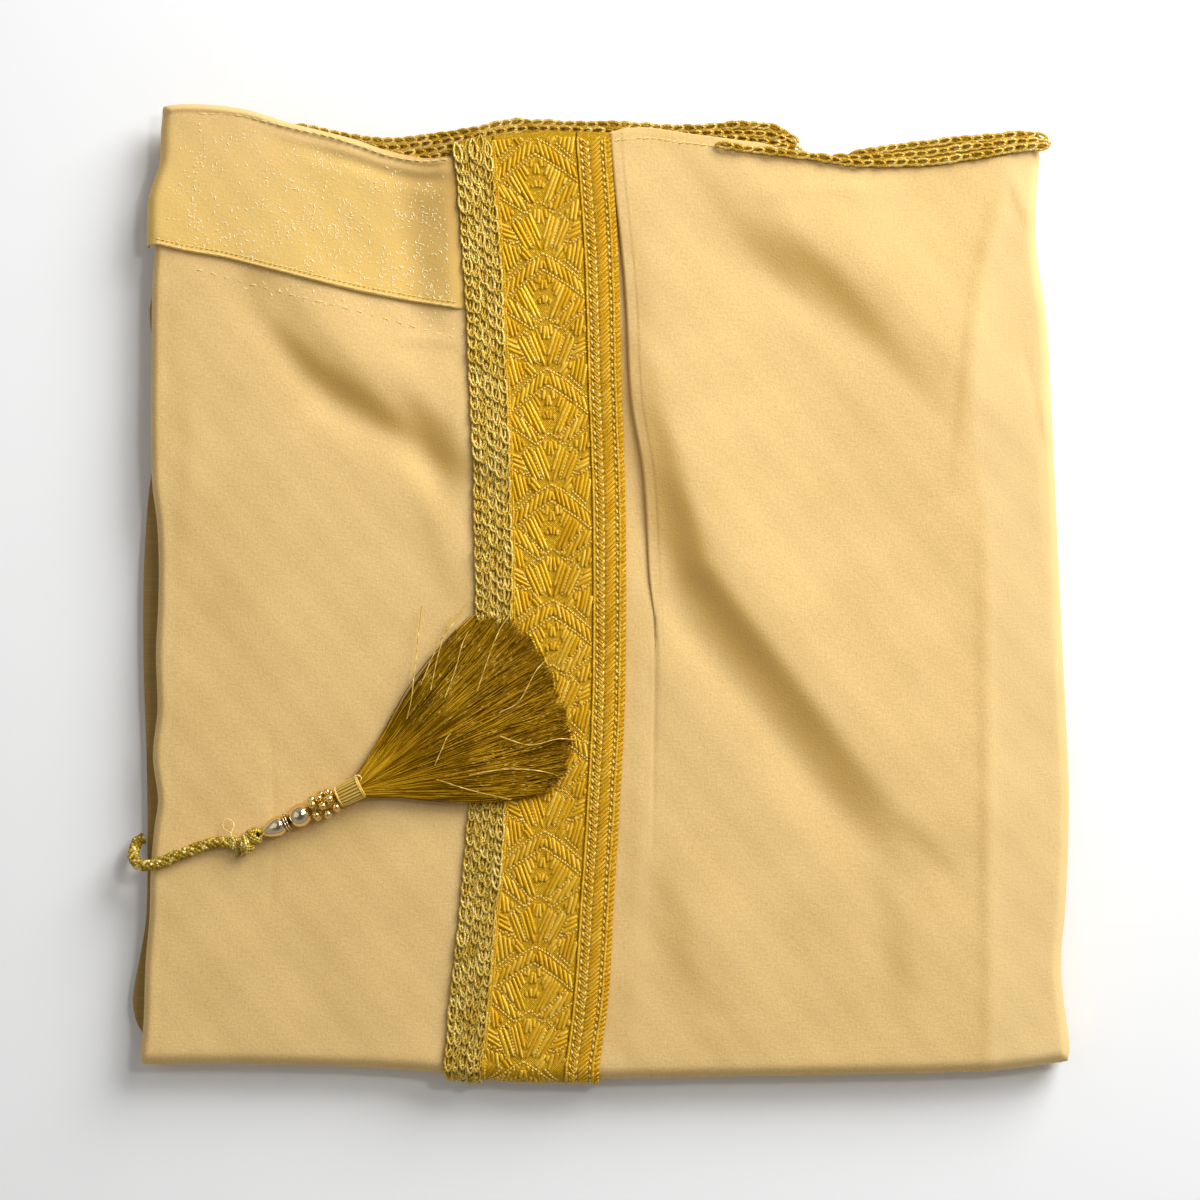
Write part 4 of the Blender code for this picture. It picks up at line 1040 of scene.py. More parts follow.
facing_sheet = {
    "left": lambda y: read_table(FLAP_LEFT, y) + FACING_LIFT,
    "right": lambda y: read_table(BAND_LEFT, y) + 0.8,
    "bottom": curve(FLAP_BOTTOM),
    "top": lambda x: read_table(FLAP_TOP, x) - FACING_LIFT,
    "turns": {"left": LEFT_TURN, "top": ROLL_TURN},
    "rise": facing_rise,
}
facing_grid = lay_sheet(facing_sheet, stations(80, low_turn=8), stations(64, high_turn=8),
                        FACING_LIFT)
facing_x, facing_y = facing_grid[..., 0], facing_grid[..., 1]
low_y = read_table(FLAP_BOTTOM, facing_x)
high_y = read_table(FLAP_TOP, facing_x)
height_share = np.clip((facing_y - low_y) / (high_y - low_y), 0, 1)
gold_amount = mix(read_table(GOLD_SHARE, facing_x, 1), read_table(GOLD_SHARE, facing_x, 2),
                  height_share**1.3) * np.clip((high_y - facing_y - 5.5) / 3.0, 0, 1)
# Painted shade: the facing's colour darkens toward the band, and more so toward its upper edge.
toward_band = facing_x - read_table(BAND_LEFT, facing_y)
facing_shade = SHADE_MOST * np.clip((toward_band + SHADE_REACH) / SHADE_REACH, 0, 1)
facing_shade = facing_shade * np.clip(SHADE_LOW + SHADE_RISE * height_share, 0, 1)
facing = thicken(grid_object("neck_facing", facing_grid, facing_cloth,
                             {"gold": gold_amount, "tint": facing_shade}), CLOTH)
print("neck facing:", len(facing.data.polygons), "faces")

# %% [markdown]
# Below the fronts lie the back, the sleeves and the rest of both fronts, folded many times. Nobody
# sees between them, so the model has one solid there, and here it becomes a stack of rounded folds:
# each layer bulges like the edge of folded cloth, and no two edges lie exactly above each other.
# %% Folded layers
LAYERS = 10
PEEKING = 5  # lower layers that come out past the left front
CORE_MARGIN = 2.4
CORE_BACK = (
    (-166, 184.0), (-150, 185.0), (-135, 183.0), (-119, 178.8), (-107, 175.6), (-95, 172.2),
    (-83, 169.5), (-64, 171.0), (-50, 175.5), (-33, 179.0), (5, 178.6), (29, 177.6), (54, 178.0),
    (66, 175.0), (72, 170.0), (78, 164.2), (88, 163.2), (101, 161.6), (125, 161.9), (149, 165.2),
    (166, 167.6),
)
CORE_PEEK = (
    (-176, -171.0), (-172, -173.2), (-166, -177.9), (-158, -180.0), (-152, -179.8),
    (-138, -177.2), (-124, -175.0), (-97, -174.5), (-62, -175.0), (-27, -176.2), (8, -176.2),
    (39, -174.3), (60, -171.5), (90, -171.8), (111, -173.8), (121, -171.0), (150, -169.5),
    (186, -165.0),
)
CORE_BACK_STEP = 12.0
BULGE = 0.75
SLIDE = 0.45  # how far a layer's edge wanders in and out
STACK_TOP = 12.4  # low enough for the cloth's deepest troughs


def unit_square(per_side, radius=0.012):
    """Points round a unit square with small round corners, counter-clockwise from lower right."""
    points = []
    for cx, cy, start in ((1 - radius, radius, -90), (1 - radius, 1 - radius, 0),
                          (radius, 1 - radius, 90), (radius, radius, 180)):
        arc = np.radians(start + np.linspace(0, 90, 7))
        points += list(zip(cx + radius * np.cos(arc), cy + radius * np.sin(arc)))
    points = np.array(points + points[:1])
    dense = [points[0]]
    for first, last in zip(points, points[1:]):
        count = max(int(per_side * np.abs(last - first).max()), 1)
        dense += [mix(first, last, k / count) for k in range(1, count + 1)]
    return np.array(dense[:-1])


def layer_ring(square, layer, share):
    """One ring of a layer: its edge draws in toward the creases above and below it."""
    level = (layer + share) * STACK_TOP / LAYERS
    lean = min(abs(level - TOP + SIDE_DROP) / SIDE_DROP, 1.0)
    roundness = 1 - math.sqrt(1 - lean * lean)
    inset = BULGE * (1 - math.sqrt(max(1 - (2 * share - 1) ** 2, 0.0)))
    u, v = square[:, 0], square[:, 1]
    around = np.arctan2(v - 0.5, u - 0.5)
    inset = inset + SLIDE * (1 + np.sin(around * (3 + layer % 4) + 2.1 * layer)
                             * np.sin(around * 2 + layer)) / 2
    y = mix(*FRONT_TO_BACK, v)
    for _ in range(3):
        hidden = read_table(LEFT_EDGE, y) + CORE_MARGIN + LEFT_TURN["inset"] * roundness
        low_x = read_table(CORE_PEEK, y) if layer < PEEKING else hidden
        high_x = read_table(RIGHT_EDGE, y) - CORE_MARGIN - RIGHT_TURN["inset"] * roundness
        x = mix(low_x + inset, high_x - inset, u)
        low_y = read_table(BOTTOM_EDGE, x) + CORE_MARGIN + BOTTOM_TURN["inset"] * roundness
        high_y = read_table(CORE_BACK, x) - (CORE_BACK_STEP if layer == LAYERS - 1 else 0.0)
        y = mix(low_y + inset, high_y - inset, v)
    return np.stack([x, y, np.full(x.shape, level)], axis=-1)


square = unit_square(100)
rings = [layer_ring(square, layer, share) for layer in range(LAYERS)
         for share in (0.0, 0.08, 0.25, 0.5, 0.75, 0.92)]
rings.append(layer_ring(square, LAYERS - 1, 1.0))


def stack_mesh(name, rings, material):
    """Closes a stack of rings with one face below and one on top."""
    mesh = new_mesh(name, rings, tube_faces(*rings.shape[:2]))
    places = np.stack(np.broadcast_arrays(run_along(rings[0])[None, :], rings[..., 2] * 1.5), axis=-1)
    corner = corner_points(mesh)
    values = places.reshape(-1, 2)[corner]
    caps = (len(mesh.polygons) - 2) * 4
    values[caps:] = rings[..., :2].reshape(-1, 2)[corner[caps:]]
    mesh.uv_layers.new(name="cloth_mm").data.foreach_set("uv", values.ravel())
    piece = add_piece(name, mesh, material)
    for cap in (-2, -1):
        mesh.polygons[cap].use_smooth = False
    return piece


folded_cloth = stack_mesh("folded_cloth", np.array(rings), inner_cloth)
print("folded layers:", len(folded_cloth.data.polygons), "faces,", len(square), "points a ring")

# %% [markdown]
# Gold work repeats a few small pieces thousands of times: a chain link, a satin stitch, a dot.
# Geometry Nodes does the repeating. `repeat_along` puts a piece at even steps along lines, such as
# the links of a chain. `place_pieces` puts it on given points, each with its own length and
# direction. `spin_threads` turns lines into thread. All three end as plain meshes.
# %% Trees that repeat and spin
PLACE_INPUTS = (("Piece", "NodeSocketObject", None), ("Material", "NodeSocketMaterial", None),
                ("Seed", "NodeSocketInt", 1))
ROW_INPUTS = (("Spacing", "NodeSocketFloat", 0.005), ("Tilt", "NodeSocketFloat", 0.0),
              ("Unevenness", "NodeSocketFloat", 0.05))
THREAD_INPUTS = (("Thickness", "NodeSocketFloat", 0.0005), ("Sides", "NodeSocketInt", 5),
                 ("Material", "NodeSocketMaterial", None))
THREAD_APART = 400.0  # sets the patterns of any two threads far apart
GEOMETRY = (("Geometry", "NodeSocketGeometry", None),)


def new_tree(name, inputs):
    return new_group(name, GEOMETRY + inputs, GEOMETRY, "GeometryNodeTree")


def read_attribute(tree, name, kind="FLOAT"):
    node = add_node(tree, "GeometryNodeInputNamedAttribute", {"data_type": kind}, Name=name)
    return node.outputs["Attribute"]


def random_number(tree, low, high, seed):
    node = add_node(tree, "FunctionNodeRandomValue", {"data_type": "FLOAT"}, Min_001=low,
                    Max_001=high, Seed=seed)
    return node.outputs[1]


def turn_about(tree, rotation, axis, angle):
    """Turns a rotation about one of its own axes."""
    turn = add_node(tree, "FunctionNodeAxisAngleToRotation", Axis=axis, Angle=angle)
    node = add_node(tree, "FunctionNodeRotateRotation", {"rotation_space": "LOCAL"},
                    Rotation=rotation, Rotate_By=turn.outputs[0])
    return node.outputs[0]


def set_material(tree, source, result, geometry):
    done = add_node(tree, "GeometryNodeSetMaterial", Geometry=geometry,
                    Material=source.outputs["Material"])
    tree.links.new(done.outputs[0], result.inputs["Geometry"])


def place_and_finish(tree, source, result, points, rotation, scale):
    """The end of a repeating tree: instances, a random number for each, and a real mesh."""
    piece = add_node(tree, "GeometryNodeObjectInfo", Object=source.outputs["Piece"])
    placed = add_node(tree, "GeometryNodeInstanceOnPoints", Points=points,
                      Instance=piece.outputs["Geometry"], Rotation=rotation, Scale=scale)
    picked = add_node(tree, "GeometryNodeStoreNamedAttribute",
                      {"data_type": "FLOAT", "domain": "INSTANCE"}, Geometry=placed.outputs[0],
                      Name="pick", Value=random_number(tree, 0.0, 1.0, source.outputs["Seed"]))
    real = add_node(tree, "GeometryNodeRealizeInstances", Geometry=picked.outputs[0])
    set_material(tree, source, result, real.outputs[0])


def place_axes(tree, along):
    """The rotation that stands a piece on the cloth, with its length along a direction."""
    axes = add_node(tree, "FunctionNodeAxesToRotation", {"primary_axis": "Z", "secondary_axis": "X"},
                    Primary_Axis=read_attribute(tree, "up", "FLOAT_VECTOR"), Secondary_Axis=along)
    return axes.outputs[0]


def build_repeat_along():
    tree, source, result = new_tree("repeat_along", PLACE_INPUTS + ROW_INPUTS)
    lines = add_node(tree, "GeometryNodeMeshToCurve", Mesh=source.outputs["Geometry"])
    even = add_node(tree, "GeometryNodeResampleCurve", {"mode": "LENGTH"}, Curve=lines.outputs[0],
                    Length=source.outputs["Spacing"])
    axes = place_axes(tree, add_node(tree, "GeometryNodeInputTangent").outputs[0])
    high = source.outputs["Unevenness"]
    low = calculate(tree, "MULTIPLY", high, -1.0)
    sway = random_number(tree, low, high, source.outputs["Seed"])
    lean = turn_about(tree, axes, (0, 0, 1), calculate(tree, "ADD", source.outputs["Tilt"], sway))
    grown = calculate(tree, "ADD", 1.0, random_number(tree, low, high, 7))
    place_and_finish(tree, source, result, even.outputs[0], lean, grown)
    return tree


def build_place_pieces():
    """Each point carries `up`, `along` and `size`, the piece's scale in millimetres."""
    tree, source, result = new_tree("place_pieces", PLACE_INPUTS)
    axes = place_axes(tree, read_attribute(tree, "along", "FLOAT_VECTOR"))
    place_and_finish(tree, source, result, source.outputs["Geometry"], axes,
                     read_attribute(tree, "size", "FLOAT_VECTOR"))
    return tree


def build_spin_threads():
    """Lines carry `pick`, which colours a thread, and `thick`, its share of the full thickness."""
    tree, source, result = new_tree("spin_threads", THREAD_INPUTS)
    lines = add_node(tree, "GeometryNodeMeshToCurve", Mesh=source.outputs["Geometry"])
    place = add_node(tree, "GeometryNodeSplineParameter")
    run = calculate(tree, "MULTIPLY", place.outputs["Length"], 1000.0)
    apart = calculate(tree, "MULTIPLY", read_attribute(tree, "pick"), THREAD_APART)
    local = add_node(tree, "ShaderNodeCombineXYZ", X=run, Y=apart, Z=0.0)
    marked = add_node(tree, "GeometryNodeStoreNamedAttribute",
                      {"data_type": "FLOAT_VECTOR", "domain": "POINT"}, Geometry=lines.outputs[0],
                      Name="local", Value=local.outputs[0])
    radius = calculate(tree, "MULTIPLY", source.outputs["Thickness"], 0.5)
    ring = add_node(tree, "GeometryNodeCurvePrimitiveCircle", Resolution=source.outputs["Sides"],
                    Radius=radius)
    tube = add_node(tree, "GeometryNodeCurveToMesh", Curve=marked.outputs[0],
                    Profile_Curve=ring.outputs["Curve"], Scale=read_attribute(tree, "thick"),
                    Fill_Caps=True)
    real = add_node(tree, "GeometryNodeRealizeInstances", Geometry=tube.outputs[0])
    set_material(tree, source, result, real.outputs[0])
    return tree


repeat_along = build_repeat_along()
place_pieces = build_place_pieces()
spin_threads = build_spin_threads()


def run_tree(name, host, tree, **inputs):
    """Runs a tree on a host mesh and keeps the result as a plain mesh."""
    modifier = host.modifiers.new(tree.name, "NODES")
    modifier.node_group = tree
    for socket in tree.interface.items_tree:
        key = socket.name.replace(" ", "_")
        if socket.in_out == "INPUT" and key in inputs:
            modifier[socket.identifier] = inputs[key]
    keep_result(host)
    host.name = name
    host.data.shade_smooth()
    return host


def line_host(name, lines, **values):
    """A mesh of open lines, in mm. Each value is one entry for each point of each line."""
    points = np.concatenate(lines)
    edges, start = [], 0
    for line in lines:
        edges += [(start + k, start + k + 1) for k in range(len(line) - 1)]
        start += len(line)
    values = {key: np.concatenate(entries) for key, entries in values.items()}
    return point_host(name, points, edges, **values)


def point_host(name, points, edges=(), **values):
    """A mesh of points, in mm, with values stored on each. One vector may serve them all."""
    mesh = new_mesh(name, points, edges=edges)
    for key, entries in values.items():
        if isinstance(entries, tuple):
            entries = np.broadcast_to(entries, (len(points), 3))
        store_values(mesh, key, entries)
    return put_in_scene(name, mesh)


print("trees:", repeat_along.name, place_pieces.name, spin_threads.name)

# %% [markdown]
# Now the small pieces themselves. A chain link is a loop of thread, low where it starts and high
# where it ends, so that each link lies over the next one. A satin stitch is a flat pad of thread,
# one unit long, that is stretched to its real length when it is placed.
# %% Small pieces
small_pieces = []


def sweep(path, radius, sides, closed=False):
    """A tube along a path: its points, faces and the place of each point along and around it."""
    path = np.asarray(path, float)
    count = len(path)
    if closed:
        tangent = np.roll(path, -1, axis=0) - np.roll(path, 1, axis=0)
    else:
        tangent = np.gradient(path, axis=0)
    tangent = unit(tangent)
    side = np.cross(tangent, (0.0, 0.0, 1.0))
    side /= np.maximum(np.linalg.norm(side, axis=1), 1e-6)[:, None]
    up = np.cross(side, tangent)
    radius = np.broadcast_to(np.asarray(radius, float), (count,))
    angles = math.tau * np.arange(sides) / sides
    reach = radius[:, None, None]
    ring = (side[:, None, :] * np.cos(angles)[None, :, None]
            + up[:, None, :] * np.sin(angles)[None, :, None]) * reach
    points = path[:, None, :] + ring
    run = run_along(path)
    local = np.stack([np.broadcast_to(run[:, None], (count, sides)),
                      radius[:, None] * angles[None, :], np.zeros((count, sides))], axis=-1)
    faces = ring_quads(count, sides, closed=True) if closed else tube_faces(count, sides)
    return points.reshape(-1, 3), faces, local.reshape(-1, 3)


def small_piece(name, points, faces, local):
    mesh = new_mesh(name, points, faces)
    mesh.validate()
    work = bmesh.new()
    work.from_mesh(mesh)
    bmesh.ops.recalc_face_normals(work, faces=work.faces)
    work.to_mesh(mesh)
    work.free()
    store_values(mesh, "local", local)
    mesh.shade_smooth()
    small_pieces.append(put_in_scene(name, mesh))
    return small_pieces[-1]


def chain_link(name, length, width, thread):
    """A pointed loop of thread. It narrows toward its start, where the link before comes in."""
    turn = math.tau * np.arange(14) / 14
    along = -np.cos(turn) * length / 2
    bow = np.sin(turn) * np.abs(np.sin(turn)) ** 0.6
    across = bow * width / 2 * (0.86 + 0.14 * along / length * 2)
    over = thread * (0.75 + 0.55 * along / length * 2)
    return small_piece(name, *sweep(np.stack([along, across, over], axis=1), thread / 2, 5, True))


def satin_stitch(name):
    """One unit long, wide and high, with soft round ends."""
    along = np.array((-0.5, -0.47, -0.38, 0.38, 0.47, 0.5))
    plump = np.array((0.25, 0.7, 1.0, 1.0, 0.7, 0.25))
    around = np.radians(np.linspace(0, 180, 6))
    points = np.stack([np.broadcast_to(along[:, None], (6, 6)), plump[:, None] * np.cos(around) / 2,
                       plump[:, None] ** 0.5 * np.sin(around)], axis=-1)
    faces = [(r * 6 + k, r * 6 + k + 1, r * 6 + k + 7, r * 6 + k + 6)
             for r in range(5) for k in range(5)]
    faces += [tuple(range(6))[::-1], tuple(range(30, 36))]
    return small_piece(name, points.reshape(-1, 3), faces, points.reshape(-1, 3) * (6.0, 1.6, 0.8))


def round_dot(name):
    """A dot one unit across: a metal thread crossing at a point."""
    rows, sides = 4, 7
    points = []
    for r in range(rows):
        rise = math.radians(90 * r / rows)
        for k in range(sides):
            turn = math.tau * k / sides
            points.append((math.cos(rise) * math.cos(turn) / 2, math.cos(rise) * math.sin(turn) / 2,
                           math.sin(rise) / 2))
    points.append((0, 0, 0.5))
    last = (rows - 1) * sides
    faces = ring_quads(rows, sides)
    faces += [(last + k, last + (k + 1) % sides, last + sides) for k in range(sides)]
    faces.append(tuple(range(sides))[::-1])
    return small_piece(name, points, faces, np.array(points) * 1.5)


big_link = chain_link("big_link", 7.4, 3.2, 0.98)
neck_link = chain_link("neck_link", 6.2, 2.6, 1.15)
stitch = satin_stitch("satin_stitch")
dot = round_dot("dot")
print("small pieces:", [(piece.name, len(piece.data.polygons)) for piece in small_pieces])

# %% [markdown]
# Everything on the band is placed by two numbers: the share of its width, from its left edge, and
# the distance down from its top. `band_at` turns them into a point and the direction away from the
# cloth, also round the fold at the lower end. So a pattern can be drawn flat, and lies in relief.
# %% The band as a surface
BRAID_SHARE = (0.0, 0.245)
BROCADE_SHARE = (0.251, 0.778)
BORDER_SHARE = (0.784, 1.0)
TOP_TUCK = {"inset": 0.8, "drop": 0.9, "angle": 100.0}


def band_sheet(shares):
    def edge(share):
        return lambda y: mix(read_table(BAND_LEFT, y), read_table(BAND_RIGHT, y), share)

    return {
        "left": edge(shares[0]), "right": edge(shares[1]),
        "bottom": curve(BOTTOM_EDGE),
        "top": curve(BAND_TOP),
        "turns": {"bottom": BAND_TURN, "top": TOP_TUCK},
    }


band_points = lay_sheet(band_sheet((0.0, 1.0)), stations(48), stations(420, low_turn=26))[:, ::-1]
across_step = np.gradient(band_points, axis=0)
down_step = np.gradient(band_points, axis=1)
band_normals = unit(np.cross(down_step, across_step))
band_run = walk(band_points, 1)
BAND_LENGTH = float(band_run[-1])


def band_at(share, down, lift=0.0):
    """Points at a share of the band's width and a distance down it, and the normals there."""
    share, down = np.broadcast_arrays(np.asarray(share, float), np.asarray(down, float))
    column = np.clip(share, 0, 1) * (len(band_points) - 1)
    row = np.interp(down, band_run, np.arange(len(band_run)))
    i = np.clip(column.astype(int), 0, band_points.shape[0] - 2)
    j = np.clip(row.astype(int), 0, band_points.shape[1] - 2)
    a, b = (column - i)[..., None], (row - j)[..., None]

    def blend(field):
        return mix(mix(field[i, j], field[i + 1, j], a), mix(field[i, j + 1], field[i + 1, j + 1], a), b)

    normal = unit(blend(band_normals))
    return blend(band_points) + normal * np.asarray(lift)[..., None], normal


print("band length with its turned end, mm:", round(BAND_LENGTH, 1))

# %% Ribbons of gold ground
# The ground's low pick darkens it below its stitches: partly its own tone, partly painted shade.
GROUND_PICK = 0.35  # how bright the gold ground is below its stitches


def gold_ribbon(name, grid, across, along, thickness):
    """A ribbon of gold ground. across and along place its thread pattern, in mm."""
    local = np.stack(np.broadcast_arrays(across, along, 0.0), axis=-1)
    values = {"local": local, "pick": np.full(grid.shape[:2], GROUND_PICK)}
    return thicken(grid_object(name, grid, ground_gold, values), thickness), cut_size(grid)


def lay_strip(name, shares, columns, thickness, top):
    """A strip of the band's own cloth."""
    grid = lay_sheet(band_sheet(shares), stations(columns), stations(230, low_turn=18, high_turn=4),
                     top)
    return gold_ribbon(name, grid, walk(grid, 0)[:, None], walk(grid, 1)[None, :], thickness)


# %% Chain braid of the front edge
CHAIN_COLUMNS = 5
CHAIN_PITCH = 4.7
LINK_SEAT = 0.75  # height of the links' base above the cloth
FILL_DROP = 0.6
SHIFTS = (0.0, 0.3, 0.45, -0.1, 0.15, 0.55, -0.2, 0.1, 0.35)  # where columns start, in links


def chain_lines(name, low, high, start, end, lift, fill):
    """Lines down the band: the columns of chain, or lower ones that fill the gaps between them."""
    lines, ups = [], []
    for column in range(fill, 2 * CHAIN_COLUMNS - 1, 2):
        share = mix(low, high, (column + 1) / (2 * CHAIN_COLUMNS))
        first = start + CHAIN_PITCH * SHIFTS[column]
        down = np.arange(first, end, 1.5)
        wander = 0.0035 * np.sin(down * 0.11 + column * 1.9)
        points, normals = band_at(share + wander, down, lift - FILL_DROP * fill)
        lines.append(points)
        ups.append(normals)
    return line_host(name, lines, up=ups)


front_braid, braid_size = lay_strip("front_braid", BRAID_SHARE, 14, 0.5, 0.75)
chains = []
# The fillers lie lower and take the darker neck gold: painted shade in the gaps between the columns.
for name, fill, material in (("columns", 0, braid_gold), ("fillers", 1, neck_gold)):
    chain_host = chain_lines(name, 0.004, 0.243, 2.2, BAND_LENGTH - 3.0, LINK_SEAT, fill)
    chains.append(run_tree(name, chain_host, repeat_along, Piece=big_link, Material=material,
                           Spacing=CHAIN_PITCH * MM, Unevenness=0.15, Seed=3 + fill))
front_chain = join_pieces("front_chain", chains)
print("front chain:", len(front_chain.data.polygons), "faces")

# %% [markdown]
# The wide band is brocade: leaves and diamonds filled with parallel satin stitches on a dark ground, partly its own
# colour and partly painted shade between the stitches.
# One repeat is 44 mm long and mirrored about the middle. The chart below lists each motif of the
# left half as corners: distance from the middle, distance down the repeat. Its first number is the
# lean of the stitches, in degrees. A scanline fills each motif, as a stitcher's eye would.
# %% Chart of the brocade
REPEAT = 44.0
FIRST_REPEAT = 0.4
HALF_WIDTH = 15.25
STITCH_PITCH = 1.5
STITCH_HEIGHT = 0.75
CHART = (
    (14, (0.3, 0.8, 5.2, 3.6, 14.6, 11.6, 14.6, 16.2, 9.6, 12.0, 0.3, 5.6)),
    (-24, (3.2, 9.0, 9.6, 13.4, 11.6, 16.2, 2.4, 26.0, 0.7, 23.4, 4.4, 17.6, 2.6, 13.4)),
    (8, (0.3, 7.2, 2.4, 8.8, 1.9, 13.0, 0.3, 14.8)),
    (-10, (0.3, 15.4, 2.9, 18.0, 0.3, 21.4)),
    (-24, (14.7, 17.2, 14.7, 21.0, 5.4, 28.2, 3.2, 26.8, 12.4, 17.0)),
    (-12, (14.8, 23.2, 14.9, 29.6, 11.6, 32.6, 9.4, 28.6, 11.6, 25.4)),
    (6, (0.3, 25.4, 2.6, 28.4, 2.4, 30.6, 0.3, 34.0)),
    (-19, (3.6, 28.6, 6.6, 31.0, 2.9, 41.6, 0.5, 43.0, 0.4, 37.0)),
    (-24, (7.4, 29.6, 10.6, 32.2, 11.0, 34.4, 6.0, 43.4, 3.7, 42.0, 7.4, 32.6)),
    (-62, (14.8, 31.4, 14.9, 36.6, 11.0, 39.6, 8.6, 38.4, 11.8, 33.4)),
    (-12, (14.9, 38.2, 14.9, 46.8, 13.2, 50.8, 10.4, 48.4, 8.4, 46.0, 8.2, 41.4, 11.2, 40.6)),
    (-38, (7.8, 40.6, 7.9, 45.4, 5.6, 47.0, 3.9, 45.4, 4.6, 44.2)),
)
OUTLINES = (
    (0.0, 0.2, 5.4, 3.0, 15.0, 11.0), (0.0, 6.5, 9.8, 12.8, 14.8, 16.8),
    (12.2, 16.5, 2.9, 26.6, 0.0, 24.4), (15.0, 21.6, 5.2, 28.9, 2.8, 27.4),
    (7.1, 30.8, 3.4, 42.2), (11.4, 33.6, 6.4, 44.0), (10.2, 32.0, 7.2, 29.0),
    (14.9, 37.4, 11.2, 40.1, 8.2, 39.6), (8.0, 46.6, 13.0, 51.4),
)


def scan_motif(lean, corners):
    """Satin stitches of one motif as end points: parallel cuts through its outline."""
    outline = np.array(corners, float).reshape(-1, 2)
    angle = math.radians(lean)
    along = np.array((math.sin(angle), math.cos(angle)))
    across = np.array((math.cos(angle), -math.sin(angle)))
    run, off = outline @ along, outline @ across
    ends = []
    for place in np.arange(off.min() + STITCH_PITCH * 0.45, off.max(), STITCH_PITCH):
        cuts = []
        for k in range(len(outline)):
            n = (k + 1) % len(outline)
            if (off[k] - place) * (off[n] - place) < 0:
                cuts.append(mix(run[k], run[n], (place - off[k]) / (off[n] - off[k])))
        cuts.sort()
        for low, high in zip(cuts[::2], cuts[1::2]):
            if high - low > 1.3:
                ends.append((across * place + along * (low + 0.2), across * place + along * (high - 0.2)))
    return ends


def pairs(share, down):
    """Places on the band, or steps across it, as rows of two numbers."""
    return np.stack(np.broadcast_arrays(share, down), axis=-1)


chance = np.random.default_rng(11)
repeats = range(-1, int(BAND_LENGTH / REPEAT) + 1)
LOW_SHARE, HIGH_SHARE = BROCADE_SHARE
BAND_WIDTH = 2 * HALF_WIDTH / (HIGH_SHARE - LOW_SHARE)


def brocade_share(from_middle):
    """Share of the band's width at a distance from the middle of the brocade."""
    return mix(LOW_SHARE, HIGH_SHARE, (from_middle + HALF_WIDTH) / (2 * HALF_WIDTH))


firsts, lasts = [], []
for lean, corners in CHART:
    for first, last in scan_motif(lean, corners):
        for side in (-1, 1):
            for k in repeats:
                nudge = chance.normal(0, 0.12, 2)
                firsts.append((first[0] * side + nudge[0], first[1] + k * REPEAT + nudge[1]))
                lasts.append((last[0] * side + nudge[0] * 0.6, last[1] + k * REPEAT - nudge[1]))
firsts, lasts = np.array(firsts), np.array(lasts)
firsts[:, 1] += FIRST_REPEAT
lasts[:, 1] += FIRST_REPEAT
for near, far in ((firsts, lasts), (lasts, firsts)):
    for limit, way in ((0.5, 1), (BAND_LENGTH - 0.8, -1)):  # stitches are cut at the band's ends
        cut = (way * (near[:, 1] - limit) < 0) & (way * (far[:, 1] - limit) > 1.2)
        share = (limit - near[cut, 1]) / (far[cut, 1] - near[cut, 1])
        near[cut] = mix(near[cut], far[cut], share[:, None])
shown = (np.minimum(firsts[:, 1], lasts[:, 1]) > 0.4) & (np.maximum(firsts[:, 1], lasts[:, 1])
                                                       < BAND_LENGTH - 0.7)
firsts, lasts = firsts[shown], lasts[shown]
print("satin stitches:", len(firsts))

# %% Satin stitches and dotted outlines
BROCADE_SEAT = 1.0


def stitches_between(name, start, end, width, height, lift, material, piece):
    """Places a piece between pairs of (share, distance down), seated on the band."""
    low, up_low = band_at(start[:, 0], start[:, 1], lift)
    high, up_high = band_at(end[:, 0], end[:, 1], lift)
    length = np.linalg.norm(high - low, axis=-1)
    wide = width * (1 + 0.08 * chance.standard_normal(len(length)))
    tall = height * (1 + 0.15 * chance.standard_normal(len(length)))
    host = point_host(name, (low + high) / 2, up=up_low + up_high, along=high - low,
                      size=np.stack([length, wide, tall], axis=-1))
    return run_tree(name, host, place_pieces, Piece=piece, Material=material, Seed=5)


first_places = pairs(brocade_share(firsts[:, 0]), firsts[:, 1])
last_places = pairs(brocade_share(lasts[:, 0]), lasts[:, 1])
leaves = stitches_between("leaves", first_places, last_places, 1.34, STITCH_HEIGHT, BROCADE_SEAT,
                          leaf_gold, stitch)

DOT_STEP = 1.25


def place_on_outline(run, corners, place):
    return np.array([np.interp(place, run, corners[:, axis]) for axis in (0, 1)])


dot_places, dot_turns = [], []
for outline in OUTLINES:
    corners = np.array(outline, float).reshape(-1, 2)
    run = run_along(corners)
    for place in np.arange(0.3, run[-1], DOT_STEP):
        middle = place_on_outline(run, corners, place)
        ahead = place_on_outline(run, corners, place + 0.2) - middle
        for side in (-1, 1):
            for k in repeats:
                dot_places.append((middle[0] * side, middle[1] + k * REPEAT + FIRST_REPEAT))
                dot_turns.append((ahead[0] * side, ahead[1]))
dot_places, dot_turns = np.array(dot_places), np.array(dot_turns)
shown = (dot_places[:, 1] > 0.8) & (dot_places[:, 1] < BAND_LENGTH - 1.0)
dot_places, dot_turns = dot_places[shown], dot_turns[shown]
dot_turns /= np.maximum(np.linalg.norm(dot_turns, axis=1), 1e-6)[:, None]


def dots_on_band(name, places, turns, length, width, lift, material):
    """Dots that lie along a direction, which is given in mm across and down the band."""
    reach = turns * length / 2
    step = pairs(reach[:, 0] / BAND_WIDTH, reach[:, 1])
    return stitches_between(name, places - step, places + step, width, width * 0.9, lift, material,
                            dot)


